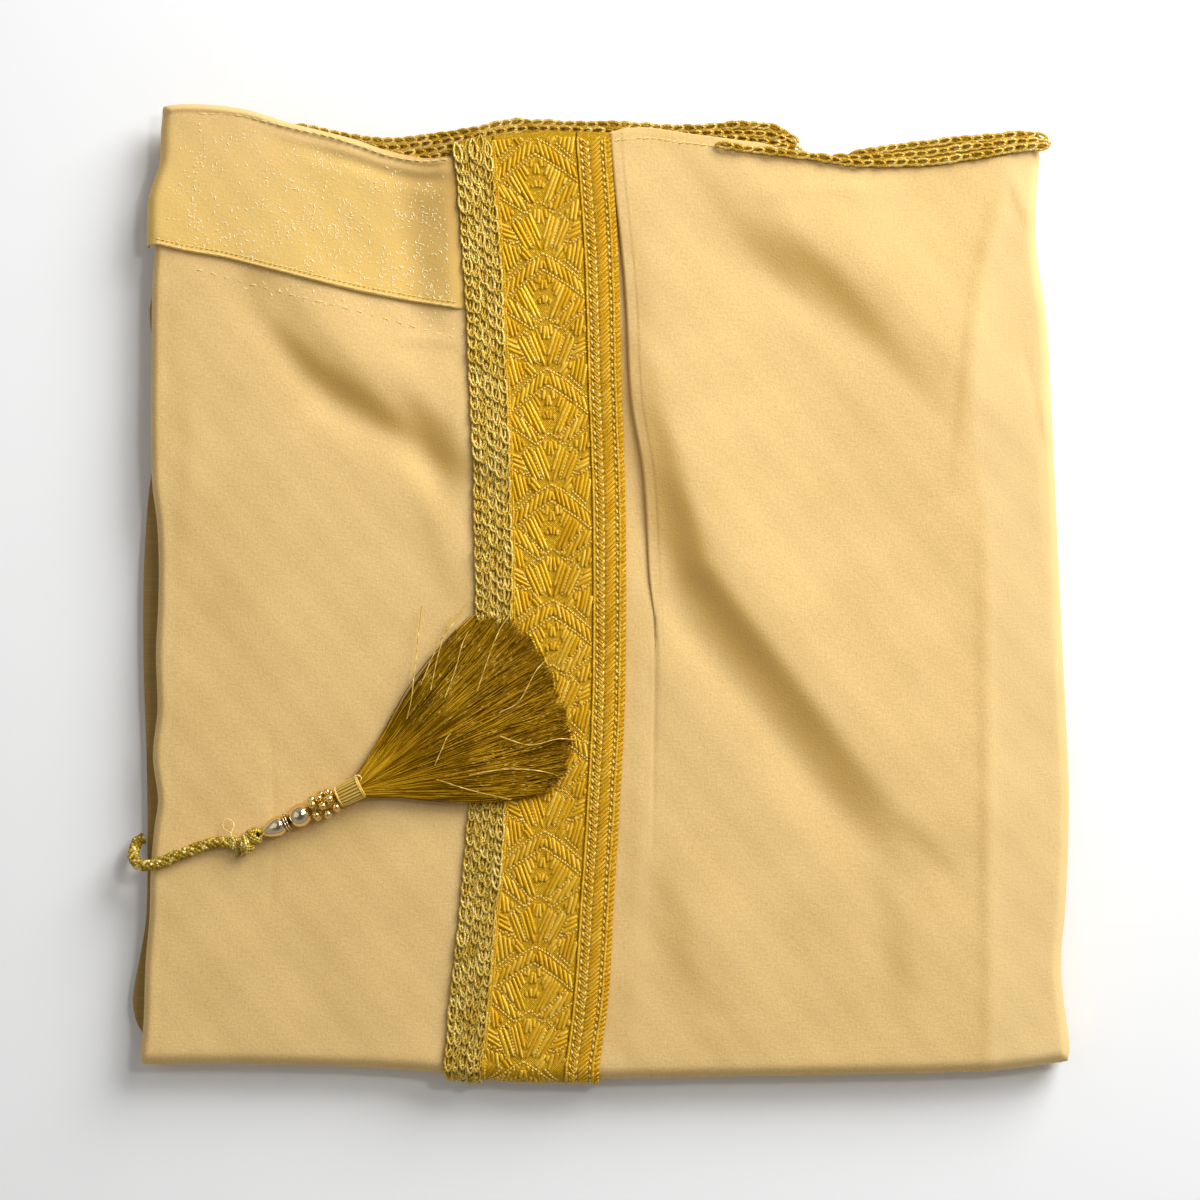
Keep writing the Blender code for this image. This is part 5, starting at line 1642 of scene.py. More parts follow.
outline_places = pairs(brocade_share(dot_places[:, 0]), dot_places[:, 1])
outlines = dots_on_band("outlines", outline_places, dot_turns, 1.05, 0.8, BROCADE_SEAT + 0.15,
                        dot_gold)
brocade, brocade_size = lay_strip("brocade", BROCADE_SHARE, 30, 0.8, BROCADE_SEAT + 0.05)

# Two ropes of slanted stitches close the brocade on the side of the chain braid
edge_places = np.arange(1.2, BAND_LENGTH - 1.5, 1.15)


def merged(rows):
    """Puts rows of (starts, ends) together."""
    return [np.concatenate(part) for part in zip(*rows)]


def leaning_row(share, places, width, rise):
    """End points of a row of slanted stitches: a rope when they are close, a bar when they're not."""
    half = width / 2 / BAND_WIDTH
    return pairs(share - half, places + rise / 2), pairs(share + half, places - rise / 2)


rope_rows = [leaning_row(share, edge_places, 0.75, 1.5) for share in (0.2475, 0.2605)]
rope = stitches_between("rope", *merged(rope_rows), 0.72, 0.7, BROCADE_SEAT, leaf_gold, stitch)
brocade_stitches = join_pieces("brocade_stitches", [leaves, outlines, rope])
print("brocade:", len(brocade_stitches.data.polygons), "faces,", len(dot_places), "dots")

# %% Border of the band
DOT_PITCH = 2.65
border, border_size = lay_strip("border", BORDER_SHARE, 20, 0.8, BROCADE_SEAT + 0.05)
dotted = []
for share, shift, lean in ((0.812, 0.0, 0.35), (0.852, 0.5, -0.35), (0.9425, 0.25, 0.15)):
    places = np.arange(1.5 + shift * DOT_PITCH, BAND_LENGTH - 1.5, DOT_PITCH)
    dotted.append((pairs(share + 0.0015 * np.sin(places), places), pairs(lean, np.ones(len(places)))))
border_dots = dots_on_band("border_dots", *merged(dotted), 1.7, 0.95, BROCADE_SEAT + 0.2, bead_gold)
bars = [leaning_row(0.8985, np.arange(2.0, BAND_LENGTH - 3.0, 1.7), 3.7, 3.6),
        leaning_row(0.832, np.arange(2.0, BAND_LENGTH - 3.0, 1.3), 1.3, -1.6),
        leaning_row(0.790, edge_places, 0.7, 1.5), leaning_row(0.960, edge_places, 0.9, 1.5),
        leaning_row(0.983, np.arange(1.5, BAND_LENGTH - 2.0, 1.9), 1.9, 1.7)]
border_bars = stitches_between("border_bars", *merged(bars), 0.85, 0.8, BROCADE_SEAT, leaf_gold,
                               stitch)
border_stitches = join_pieces("border_stitches", [border_bars, border_dots])
print("border:", len(border_stitches.data.polygons), "faces")

# %% [markdown]
# The neck is edged with the same chain braid. It shows twice: behind the folded edge, and along the
# top of the right front, where it grows from one row to three. Each braid is a ribbon of dark gold,
# partly its own colour and partly painted shade below the links, with rows of links on it. The rows
# are lines, and `repeat_along` turns each one into a chain.
# %% Braids at the neck
NECK_BRAID = (
    (-118, 180.6, 176.0), (-107, 178.8, 171.4), (-95, 176.4, 167.6), (-83, 174.9, 165.4),
    (-72, 175.4, 165.8), (-60, 177.2, 167.4), (-48, 179.3, 169.6), (-33, 181.9, 172.2),
    (-14, 181.7, 172.0), (5, 181.1, 171.4), (24, 180.0, 170.3), (37, 180.2, 170.2),
    (50, 181.2, 170.6), (62, 180.8, 169.8), (70, 178.5, 168.4), (74.6, 175.0, 168.2),
)  # x, y of the upper edge, y of the lower edge
NECK_BRAID_SEAT = 13.3
RIBBON = 0.6  # thickness of the ribbon below the links


def neck_place(x, share):
    """A point on the neck braid: share 0 is its lower edge."""
    y = mix(read_table(NECK_BRAID, x, 2), read_table(NECK_BRAID, x, 1), share)
    round_off = 0.8 * (np.abs(2 * share - 1)) ** 6
    return np.stack([x + 0 * y, y, NECK_BRAID_SEAT - round_off + 0 * y], axis=-1)


def right_place(x, share):
    """A point on the right braid, which lies on the cloth and sinks toward its upper edge."""
    low = read_table(RIGHT_BRAID, x, 1)
    y = mix(low, read_table(RIGHT_BRAID, x, 2), share)
    seat = cloth_height(x, low) + panel_rise(x, low) + RIBBON + 0.35
    round_off = 0.5 * (np.abs(2 * share - 1)) ** 6
    return np.stack([x + 0 * y, y, seat - read_table(RIGHT_BRAID, x, 3) * share - round_off],
                    axis=-1)


def braid_of_rows(name, place, ends, rows, smallest, table, high_column, low_column):
    """A ribbon with rows of links. A row starts where the ribbon is wide enough for it."""
    grid = place(*np.meshgrid(np.linspace(*ends, 110), np.linspace(0, 1, 13), indexing="ij"))
    ribbon, size = gold_ribbon(name, grid, grid[..., 0], grid[..., 1], RIBBON)
    lines, ups = [], []
    for row in range(rows):
        x = np.arange(ends[0] + 1.5 + 2.4 * (row % 2), ends[1] - 1.0, 1.5)
        width = np.abs(read_table(table, x, high_column) - read_table(table, x, low_column))
        enough = width > smallest * row + 1.0
        x, width = x[enough], width[enough]
        if len(x) < 4:
            continue
        place_on = (row + 0.5) / rows + 0.02 * np.sin(0.13 * x + 2 * row)
        if rows == 3:
            narrow = np.clip(smallest * (row + 1) / width, 0, 1)
            place_on = mix(place_on, (row + 0.5) * narrow / (row + 1), np.clip((100 - x) / 14, 0, 1))
        lines.append(place(x, place_on))
        ups.append(np.broadcast_to((0.0, 0.12, 1.0), lines[-1].shape))
    links = run_tree(name + "_links", line_host("rows", lines, up=ups), repeat_along,
                     Piece=neck_link, Material=neck_gold, Spacing=4.1 * MM, Unevenness=0.14,
                     Seed=9)
    return ribbon, links, size


neck_braid, neck_links, neck_size = braid_of_rows("neck_ribbon", neck_place, (-118, 74.6), 4, 0.0,
                                                  NECK_BRAID, 1, 2)
top_braid, top_links, top_size = braid_of_rows("right_ribbon", right_place, (46, 169.6), 3, 2.4,
                                               RIGHT_BRAID, 2, 1)
print("neck braids:", len(neck_links.data.polygons) + len(top_links.data.polygons), "faces")

# %% [markdown]
# Gold thread also holds the hems. The stitches on the facing's rolled edge are short and far apart,
# the thread along its lower edge is a tight twist, and small curls of metal thread show through
# from the right side. The curls are scattered by a tree where the stored amount of gold is high.
# %% Hem stitches
FACING_TOP_LINE = ((-151.4, 183.8), (-139.2, 183.4), (-127.4, 180.8), (-115.2, 177.7),
                   (-103.3, 175.0), (-91.1, 171.2), (-79.3, 167.4), (-67.1, 165.7), (-59, 166.3))
RIGHT_HEM_LINE = ((6.7, 173.7), (18, 174.6), (32, 172.9), (45.8, 171.2))
BELOW_FACING_LINE = ((-152.5, 124.3), (-120, 115.5), (-85, 106.6), (-56, 98.6))
FIRST_SEAM = -168.4  # the facing turns down to the left of this


def facing_top(x, y):
    return cloth_height(x, y) + FACING_LIFT + facing_rise(x, y)


def right_top(x, y):
    return cloth_height(x, y) + panel_rise(x, y)


def line_on(table, height, inside, lift):
    """Points along a table of (x, y), on a surface whose height is a function of x and y."""
    x = np.arange(max(table[0][0], FIRST_SEAM), table[-1][0], 0.8)
    y = read_table(table, x) + inside
    return np.stack([x, y, height(x, y) + lift], axis=-1)


def seam_piece(name, length, width, height):
    """A stitch of real size, for seams."""
    piece = satin_stitch(name)
    piece.data.transform(((length, 0, 0, 0), (0, width, 0, 0), (0, 0, height, 0), (0, 0, 0, 1)))
    return piece


hem_stitch = seam_piece("hem_stitch", 2.1, 0.5, 0.35)
twist_stitch = seam_piece("twist_stitch", 1.25, 0.5, 0.5)
seams = []
for name, table, height, inside, lift, piece, spacing, tilt in (
        ("facing_seam", FACING_TOP_LINE, facing_top, 0.0, -0.05, hem_stitch, 3.3, 0.0),
        ("facing_twist", FLAP_BOTTOM, facing_top, 0.7, 0.0, twist_stitch, 0.85, 0.55),
        ("facing_twist_2", FLAP_BOTTOM, facing_top, 2.4, 0.12, twist_stitch, 1.9, 0.3),
        ("below_facing", BELOW_FACING_LINE, cloth_height, 0.0, -0.1, hem_stitch, 5.2, 0.05),
        ("right_hem", RIGHT_HEM_LINE, right_top, 0.0, 0.0, hem_stitch, 2.6, 0.25)):
    line = line_on(table, height, inside, lift)
    host = line_host(name, [line], up=[np.broadcast_to((0.0, 0.0, 1.0), line.shape)])
    seams.append(run_tree(name, host, repeat_along, Piece=piece, Material=bead_gold,
                          Spacing=spacing * MM, Tilt=tilt, Unevenness=0.16, Seed=4))


# %% Curls of metal thread on the facing
def thread_curl(name):
    place = np.linspace(-1, 1, 6)
    path = np.stack([0.9 * place, 0.34 * np.sin(place * 2.6), 0.1 + 0.1 * np.cos(place * 3)], axis=1)
    points, faces, local = sweep(path, 0.24 * (1.05 - place**4), 4)
    return small_piece(name, points * (1.0, 1.0, 0.5) + (0, 0, 0.05), faces, local)


SCATTER_INPUTS = (("Density", "NodeSocketFloat", 20000.0), ("Cluster", "NodeSocketFloat", 120.0))


def build_scatter():
    """Pieces at random places, in clumps, as many as the stored amount of gold calls for."""
    tree, source, result = new_tree("scatter_curls", PLACE_INPUTS + SCATTER_INPUTS)
    clumps = add_node(tree, "ShaderNodeTexNoise", Scale=source.outputs["Cluster"], Detail=2.0)
    thick = calculate(tree, "MULTIPLY", calculate(tree, "SUBTRACT", clumps.outputs["Fac"], 0.36), 3.6)
    amount = calculate(tree, "MULTIPLY", clamp(tree, thick), read_attribute(tree, "gold"))
    points = add_node(tree, "GeometryNodeDistributePointsOnFaces", Mesh=source.outputs["Geometry"],
                      Density=calculate(tree, "MULTIPLY", amount, source.outputs["Density"]),
                      Seed=source.outputs["Seed"])
    lean = turn_about(tree, points.outputs["Rotation"], (0, 0, 1),
                      random_number(tree, 0.0, math.tau, source.outputs["Seed"]))
    place_and_finish(tree, source, result, points.outputs["Points"], lean,
                     random_number(tree, 0.35, 0.8, 21))
    return tree


scatter_curls = build_scatter()
curl = thread_curl("curl")
curl_host = grid_object("curls", facing_grid[10:-4, 2:-12], facing_cloth,
                        {"gold": gold_amount[10:-4, 2:-12]})
curls = run_tree("curls", curl_host, scatter_curls, Piece=curl, Material=glint_gold,
                 Density=560000.0, Seed=12)
below_line = left_grid[..., 1] - read_table(BELOW_FACING_LINE, left_grid[..., 0])
left_gold = ridge(below_line - 3.0, 3.2, 0.55) * np.clip((left_grid[..., 0] + 150) / 20, 0, 1)
below_host = grid_object("curls_below", left_grid[10:-6, 8:-6], plain_cloth,
                         {"gold": left_gold[10:-6, 8:-6]})
below_curls = run_tree("curls_below", below_host, scatter_curls, Piece=curl,
                       Material=glint_gold, Density=420000.0, Seed=15)
facing = join_pieces("neck_facing", [facing, curls] + seams[:3])
left_cloth = join_pieces("left_front_cloth", [left_cloth, seams[3], below_curls])
right_cloth = join_pieces("right_front_cloth", [right_cloth, seams[4]])
print("facing with its gold:", len(facing.data.polygons), "faces")

# %% [markdown]
# The neck cord is a round plait: four strands wind one way round it and four the other, each going
# over one and under the next. In numbers that is a helix whose radius swings in and out. The cord
# comes out from between the layers, bends up round the cloth's edge and lies on the left front.
# %% Neck cord
CORD_DIAMETER = 4.6
CORD_ROUTE = (
    (-176.1, -93.4, 4.7), (-177.8, -94.1, 5.6), (-178.8, -97.2, 9.6), (-178.4, -100.2, 13.6),
    (-175.8, -102.3, 17.2), (-171.2, -102.4, 18.9), (-165.0, -100.4, 19.3), (-158.6, -97.8, 19.3),
    (-151.6, -95.2, 19.3), (-145.5, -93.6, 19.4), (-141.2, -94.0, 19.6),
)
PLAIT_PITCH = 13.0
STRAND = 1.45


def smooth_route(route, step):
    route = np.array(route, float)
    run = run_along(route)
    at = np.linspace(0, run[-1], int(round(run[-1] / step)) + 1)
    return np.stack([read_table(list(zip(run, route[:, axis])), at) for axis in range(3)], axis=1)


def carried_frames(path):
    """Two directions across a path, carried along it without twisting."""
    tangent = unit(np.gradient(path, axis=0))
    side = np.cross(tangent[0], (0.3, 0.2, 1.0))
    sides = []
    for direction in tangent:
        side = side - direction * (side @ direction)
        side = side / np.linalg.norm(side)
        sides.append(side)
    sides = np.array(sides)
    return tangent, sides, np.cross(tangent, sides)


def plait(path, radius, strands, pitch, swing):
    """Lines of the strands of a round plait."""
    _, side, up = carried_frames(path)
    run = run_along(path)
    lines = []
    for way in (1, -1):
        for k in range(strands):
            angle = math.tau * k / strands + way * math.tau * run / pitch
            reach = radius + way * swing * np.cos(strands * angle)
            lines.append(path + side * (reach * np.cos(angle))[:, None]
                         + up * (reach * np.sin(angle))[:, None])
    return lines


def spin(name, lines, picks, thickness, sides, material, taper=1.0):
    """Turns lines into thread. picks has a number for each line, taper thins it along its way."""
    host = line_host(name, lines, pick=[np.full(len(line), pick) for line, pick in zip(lines, picks)],
                     thick=[np.broadcast_to(taper, len(line)) for line in lines])
    return run_tree(name, host, spin_threads, Thickness=thickness * MM, Sides=sides, Material=material)


cord_path = smooth_route(CORD_ROUTE, 0.5)
strand_lines = plait(cord_path, CORD_DIAMETER / 2 - STRAND * 0.62, 4, PLAIT_PITCH, 0.24)
strands = spin("strands", strand_lines, chance.random(8), STRAND, 6, cord_gold)
# The heart's low pick gives it the darkest tone: painted shade in the gaps between the strands.
heart = spin("heart", [cord_path], [0.1], CORD_DIAMETER - 1.6, 10, cord_gold)
neck_cord = join_pieces("neck_cord", [strands, heart])
cord_length = float(run_along(cord_path)[-1])
print("neck cord, mm:", round(cord_length, 1), len(neck_cord.data.polygons), "faces")

# %% [markdown]
# The knot is the same cord wound round itself: three lobes of bundled thread, each loop on a lean
# of its own, a short frayed end sticks out below, and a loop of wire above. The beads follow on
# one straight line that rises toward the tassel. `bead_line` gives a place on it.
# %% Knot
BEAD_START = (-128.7, -90.4)
BEAD_HEIGHTS = (4.6, 6.5)
BEAD_ANGLE = math.radians(25.6)
TEARDROP_LENGTH = 9.6
RINGS_LENGTH = 1.9
BALL_RADIUS = 4.4
CLUSTER_LENGTH = 10.6
CAP_LENGTH = 10.6
KNOT_START = (-140.1, -94.2, 19.6)

line_length = TEARDROP_LENGTH + RINGS_LENGTH + 2 * BALL_RADIUS + CLUSTER_LENGTH + CAP_LENGTH + 4 * GAP
climb = math.atan2(BEAD_HEIGHTS[1] - BEAD_HEIGHTS[0], line_length)
bead_along = np.array((math.cos(BEAD_ANGLE) * math.cos(climb), math.sin(BEAD_ANGLE) * math.cos(climb),
                       math.sin(climb)))
bead_side = np.array((-math.sin(BEAD_ANGLE), math.cos(BEAD_ANGLE), 0.0))
bead_up = np.cross(bead_along, bead_side)
bead_origin = np.array((*BEAD_START, float(cloth_height(*BEAD_START)) + BEAD_HEIGHTS[0]))


def bead_line(distance, across=0.0, over=0.0):
    """Points by distance along the bead line, and offsets to its side and above it."""
    distance, across, over = np.broadcast_arrays(distance, across, over)
    return (bead_origin + bead_along * np.asarray(distance)[..., None]
            + bead_side * np.asarray(across)[..., None] + bead_up * np.asarray(over)[..., None])


def bead_ring(distance, reach, angle):
    """Points round the bead line."""
    return bead_line(distance, reach * np.cos(angle), reach * np.sin(angle))


knot_from = np.array(KNOT_START)
knot_to = bead_origin - bead_along * GAP
knot_axis = np.stack([mix(knot_from, knot_to, k / 30) for k in range(31)])
knot_tangent, knot_side, knot_up = carried_frames(knot_axis)
knot_lines, knot_picks = [], []
KNOT_LOBES = ((0.10, 0.2, 2.2, 5), (0.45, 1.9, 2.9, 9), (0.80, -0.2, 2.5, 7))
for place, offset, radius, loops in KNOT_LOBES:  # place along the knot, to its side, radius, loops
    middle = mix(knot_from, knot_to, place) + knot_side[0] * offset
    for loop in range(loops):
        axis = knot_tangent[0] * 0.8 + chance.normal(0, 0.75, 3)
        axis /= np.linalg.norm(axis)
        first = np.cross(axis, knot_up[0])
        first /= np.linalg.norm(first)
        second = np.cross(axis, first)
        reach = radius * (1 + chance.normal(0, 0.12))
        shade = chance.random()
        for thread in range(2):
            turn = np.linspace(0, math.tau, 25) + loop
            wobble = reach * (1 + 0.08 * np.sin(2 * turn + 2 * loop)) - 0.12 * thread
            line = (first * (wobble * np.cos(turn))[:, None] + second * (wobble * np.sin(turn))[:, None])
            line = middle + line * (1.0, 1.0, 0.8) + axis * (thread - 0.5) * 0.95
            knot_lines.append(line)
            knot_picks.append(min(max(shade + chance.normal(0, 0.15), 0), 1))
wraps = spin("wraps", knot_lines, knot_picks, 1.1, 6, cord_gold)

tail_lines = []
for k in range(22):
    spread = chance.normal(0, 0.45, 3)
    start = mix(knot_from, knot_to, 0.35) + (0.3 + spread[0], -3.4, -0.2 + spread[1] * 0.5)
    end = start + (-1.1 + spread[2] * 1.4, -2.1 - abs(spread[0]), -1.3 + spread[1] * 0.5)
    bow = np.sin(np.linspace(0, math.pi, 8))[:, None] * (spread[1] * 0.5, 0.2, 0.5)
    tail_lines.append(np.stack([mix(start, end, s) for s in np.linspace(0, 1, 8)]) + bow)
tail = spin("tail", tail_lines, chance.random(22), 0.36, 4, cord_gold)

WIRE_ROUTE = (
    (-139.6, -92.2, 20.9), (-140.5, -90.0, 20.4), (-142.6, -88.9, 19.6), (-143.6, -87.3, 19.0),
    (-143.2, -85.5, 18.7), (-141.9, -84.8, 18.7), (-140.0, -85.7, 18.9), (-139.2, -87.4, 19.4),
    (-139.9, -89.2, 20.2), (-140.4, -91.8, 21.0),
)
wire = spin("wire", [smooth_route(WIRE_ROUTE, 0.5)], [0.9], 0.38, 6, dot_gold)
knot = join_pieces("knot", [wraps, tail, wire])
print("knot:", len(knot.data.polygons), "faces")

# %% [markdown]
# The beads are turned shapes: a profile goes round the bead line. The teardrop and the ball are
# smooth metal. The cluster is 18 small balls that sit unevenly round the cord, the cap a tube of
# ribs with a twisted thread at each end.
# %% Beads
def turned(name, start, profile, sides, material, swell=None):
    """A closed body round the bead line. profile is (distance, radius); swell shapes its girth."""
    profile = np.array(profile, float)
    angle = math.tau * np.arange(sides) / sides
    distance = np.broadcast_to(profile[:, :1], (len(profile), sides))
    reach = np.broadcast_to(profile[:, 1:], (len(profile), sides))
    ribs = np.full(reach.shape, 0.5)
    if swell is not None:
        ribs = swell(distance, angle[None, :]) + 0 * reach
        reach = reach * ribs
        ribs = (ribs - ribs.min()) / (ribs.max() - ribs.min())
    points = bead_ring(start + distance, reach, angle)
    local = np.stack([distance, reach * angle, 0 * distance], axis=-1)
    mesh = new_mesh(name, points, tube_faces(len(profile), sides))
    store_values(mesh, "local", local)
    # pick holds each point's share of the ribs, which ridged metal paints as highlight on the ridges and shade between
    # them.
    store_values(mesh, "pick", ribs)
    return add_piece(name, mesh, material)


def rounded(length, radius, steps, hole=0.9):
    """Profile of a ball with the edge of its hole at both ends."""
    first = math.asin(hole / radius)
    angle = np.linspace(first, math.pi - first, steps)
    rows = [((1 - math.cos(a) / math.cos(first)) / 2 * length, radius * math.sin(a)) for a in angle]
    return [(0.25, hole * 0.6)] + rows + [(length - 0.25, hole * 0.6)]


TEARDROP = ((0.0, 0.14), (0.02, 0.2), (0.08, 0.31), (0.16, 0.46), (0.25, 0.61), (0.35, 0.74),
            (0.45, 0.85), (0.55, 0.93), (0.65, 0.98), (0.74, 1.0), (0.83, 0.985), (0.9, 0.93),
            (0.95, 0.86), (0.965, 0.74), (1.0, 0.72))
place = 0.0
shares = np.linspace(0, 1, 40)
drop_profile = [(s * TEARDROP_LENGTH, 3.75 * float(read_table(TEARDROP, s))) for s in shares]
teardrop = turned("teardrop", place, drop_profile, 40, bead_metal)
place += TEARDROP_LENGTH + GAP

ring_profile = [(0.0, 2.3), (0.1, 3.0), (0.25, 3.3), (0.5, 3.4), (0.7, 3.3), (0.85, 2.8),
                (1.0, 2.6), (1.1, 2.7), (1.25, 3.1), (1.45, 3.2), (1.7, 3.1), (1.8, 2.6), (1.9, 2.2)]


def ring_swell(distance, angle):
    """Two raised rings with fine cuts across them."""
    raised = np.maximum(1 - ((distance - 0.5) / 0.42) ** 2, 1 - ((distance - 1.47) / 0.38) ** 2)
    return 0.9 + 0.1 * np.clip(raised, 0, 1) - 0.04 * np.maximum(np.cos(16 * angle), 0) ** 4


rings_body = turned("rings_body", place, ring_profile, 64, ring_metal, ring_swell)
ring_dots = []
for distance, radius, count in ((0.48, 3.35, 16), (1.47, 3.15, 16)):
    angle = math.tau * (np.arange(count) + 0.5) / count
    ring_dots.append((bead_ring(place + distance, radius, angle),
                      bead_side * np.cos(angle)[:, None] + bead_up * np.sin(angle)[:, None]))
dot_points, dot_ups = merged(ring_dots)
dots_host = point_host("ring_dots", dot_points, up=dot_ups, along=tuple(bead_along),
                       size=(0.62, 0.62, 0.5))
engraved = run_tree("ring_dots", dots_host, place_pieces, Piece=dot, Material=bead_metal, Seed=2)
bead_rings = join_pieces("engraved_rings", [rings_body, engraved])
place += RINGS_LENGTH + GAP

ball = turned("round_bead", place, rounded(2 * BALL_RADIUS, BALL_RADIUS, 30, 1.3), 44, bead_metal)
place += 2 * BALL_RADIUS + GAP


# %% Bead cluster and cap
def small_ball(name, rows=7, sides=10):
    points = [(0, 0, -0.5)]
    for r in range(1, rows):
        rise = math.pi * r / rows - math.pi / 2
        points += [(math.cos(rise) * math.cos(math.tau * k / sides) / 2,
                    math.cos(rise) * math.sin(math.tau * k / sides) / 2, math.sin(rise) / 2)
                   for k in range(sides)]
    points.append((0, 0, 0.5))
    last = len(points) - 1
    faces = [(0, 1 + (k + 1) % sides, 1 + k) for k in range(sides)]
    faces += ring_quads(rows - 1, sides, first=1)
    faces += [(last, last - sides + k, last - sides + (k + 1) % sides) for k in range(sides)]
    return small_piece(name, points, faces, np.array(points) * 3)


small_bead = small_ball("small_bead")
CLUSTER_ROWS = ((1.7, 6, 3.5, 0.1), (5.2, 6, 3.9, 0.6), (8.8, 6, 3.7, 0.2))
cluster_points, cluster_sizes = [], []
for distance, count, radius, shift in CLUSTER_ROWS:
    for k in range(count):
        angle = math.tau * (k + shift) / count + chance.normal(0, 0.08)
        reach = radius + chance.normal(0, 0.22)
        cluster_points.append(bead_ring(place + distance + chance.normal(0, 0.35), reach, angle))
        cluster_sizes.append(np.full(3, 3.25 + chance.normal(0, 0.15)))
cluster_points = np.array(cluster_points)
outward = cluster_points - bead_line((cluster_points - bead_origin) @ bead_along)
cluster_host = point_host("cluster", cluster_points, up=outward, along=tuple(bead_along),
                          size=cluster_sizes)
balls = run_tree("balls", cluster_host, place_pieces, Piece=small_bead, Material=bead_bright, Seed=6)
cluster_heart = turned("cluster_heart", place, [(0.0, 0.9), (0.4, 2.2), (5.3, 2.5), (10.2, 2.2),
                                                (CLUSTER_LENGTH, 0.9)], 14, cord_gold)
cluster = join_pieces("bead_cluster_balls", [balls, cluster_heart])
place += CLUSTER_LENGTH + GAP

CAP_RIBS = 20
cap_profile = [(0.0, 1.6), (0.05, 3.0), (0.25, 3.35), (0.8, 3.7), (1.6, 4.05), (2.6, 4.3)]
cap_profile += [(d, 4.42 + 0.08 * math.sin(d)) for d in np.linspace(3.4, 9.4, 13)]
cap_profile += [(9.9, 4.35), (10.3, 4.2), (CAP_LENGTH, 3.9), (CAP_LENGTH, 1.6)]
cap_tube = turned("cap_tube", place, cap_profile, CAP_RIBS * 8, cap_metal,
                  lambda d, a: 0.88 + 0.12 * np.abs(np.cos(CAP_RIBS / 2 * a + 0.02 * d)) ** 1.6)
rims = []
for distance, radius, thickness in ((0.9, 3.75, 0.65), (9.9, 4.25, 0.7), (10.45, 4.15, 0.5)):
    for strand in (0, 1):
        turn = np.linspace(0, math.tau * 1.02, 90)
        twist = turn * 13 + math.pi * strand
        rims.append(bead_ring(place + distance + 0.2 * np.cos(twist), radius + 0.2 * np.sin(twist),
                              turn))
rim_twist = spin("rims", rims, [0.7] * len(rims), 0.42, 5, dot_gold)
loop_turn = np.linspace(-0.6, 3.9, 22)
loop_line = bead_line(place + 10.6 + 1.5 * np.sin(loop_turn), 3.3 + 1.3 * np.cos(loop_turn),
                      3.0 + 0.5 * np.cos(loop_turn))
cap_loop = spin("cap_loop", [loop_line], [0.9], 0.5, 5, dot_gold)
cap = join_pieces("ribbed_cap", [cap_tube, rim_twist, cap_loop])
place += CAP_LENGTH + GAP
HEAD_PLACE = place
print("beads:", sum(len(piece.data.polygons) for piece in (teardrop, bead_rings, ball, cluster, cap)))

# %% [markdown]
# A tassel is a bundle of loose threads, bound once and cut level. Each thread starts inside the cap
# and runs to its own end on a fan, settling on the cloth and on the band below it. Threads lie in
# locks: those of one lock share a bend. Ends differ a little in length, and a few threads stray.
# %% Tassel
FAN_FROM = math.radians(1.5)
FAN_TO = math.radians(54.5)
FAN_LENGTH = ((0.0, 69.0), (0.12, 78.0), (0.4, 82.0), (0.75, 83.5), (0.92, 79.5), (1.0, 74.0))
HEAD_WIDTH = 7.4
HEAD_HEIGHT = 6.4
THREADS = 2100
LOCKS = 62
THREAD = 0.44
STEPS = 11
BAND_APPROACH = 30.0  # the threads start to climb this far before the band, in mm
BAND_CLIMB = 12.0
BAND_RELIEF = 2.6
ROOT_DEPTH = 2.5  # how far inside the cap the threads start


def tassel_floor(x, y):
    """Height a thread must stay above: the cloth, and the band's relief further on."""
    over = np.clip((x - read_table(BAND_LEFT, y) + BAND_APPROACH) / BAND_CLIMB, 0.0, 1.0)
    return cloth_height(x, y) + BAND_RELIEF * over


share = chance.random(THREADS)
lock = np.minimum((share * LOCKS).astype(int), LOCKS - 1)
lock_pull = chance.normal(0, 0.012, LOCKS)
lock_bow = chance.normal(0, 0.018, LOCKS)
lock_level = chance.random(LOCKS)
share = np.clip(share + lock_pull[lock] + 0.25 * ((lock + 0.5) / LOCKS - share), 0, 1)
level = chance.random(THREADS)
lock_cut = chance.normal(0, 0.012, LOCKS)
reach = read_table(FAN_LENGTH, share) * (1.01 + lock_cut[lock] - 0.02 * level
                                         - np.abs(chance.normal(0, 0.035, THREADS)))
heading = mix(FAN_FROM, FAN_TO, share) + chance.normal(0, 0.006, THREADS)
bow = lock_bow[lock] + chance.normal(0, 0.012, THREADS)
wave_phase = chance.random(THREADS) * math.tau
along_share = np.linspace(0, 1, STEPS)[:, None]
spread = np.sqrt(np.clip(1 - (2 * level - 1) ** 2, 0.1, 1))
root = bead_line(HEAD_PLACE - ROOT_DEPTH, (share - 0.5) * HEAD_WIDTH * spread, (level - 0.5) * HEAD_HEIGHT)
angle = heading + bow * np.sin(math.pi * along_share) * 1.6
angle = angle + 0.008 * np.sin(along_share * 9 + wave_phase)
distance = along_share * (reach + ROOT_DEPTH)
x = root[:, 0] + distance * np.cos(angle)
y = root[:, 1] + distance * np.sin(angle)
leaving = ease(np.clip(1 - along_share * 3.2, 0, 1))
thickness_here = mix(4.6, 1.7, along_share) + 0.8 * lock_level[lock] * np.sin(math.pi * along_share)
resting = tassel_floor(x, y) + 0.5 + thickness_here * level
straight = root[:, 2] + distance * bead_along[2] * 0.6
z = mix(resting, np.maximum(straight, resting - 0.3 * along_share), leaving)
thread_lines = list(np.stack([x, y, z], axis=-1).transpose(1, 0, 2))
taper = np.concatenate([np.ones(STEPS - 1), [0.6]])
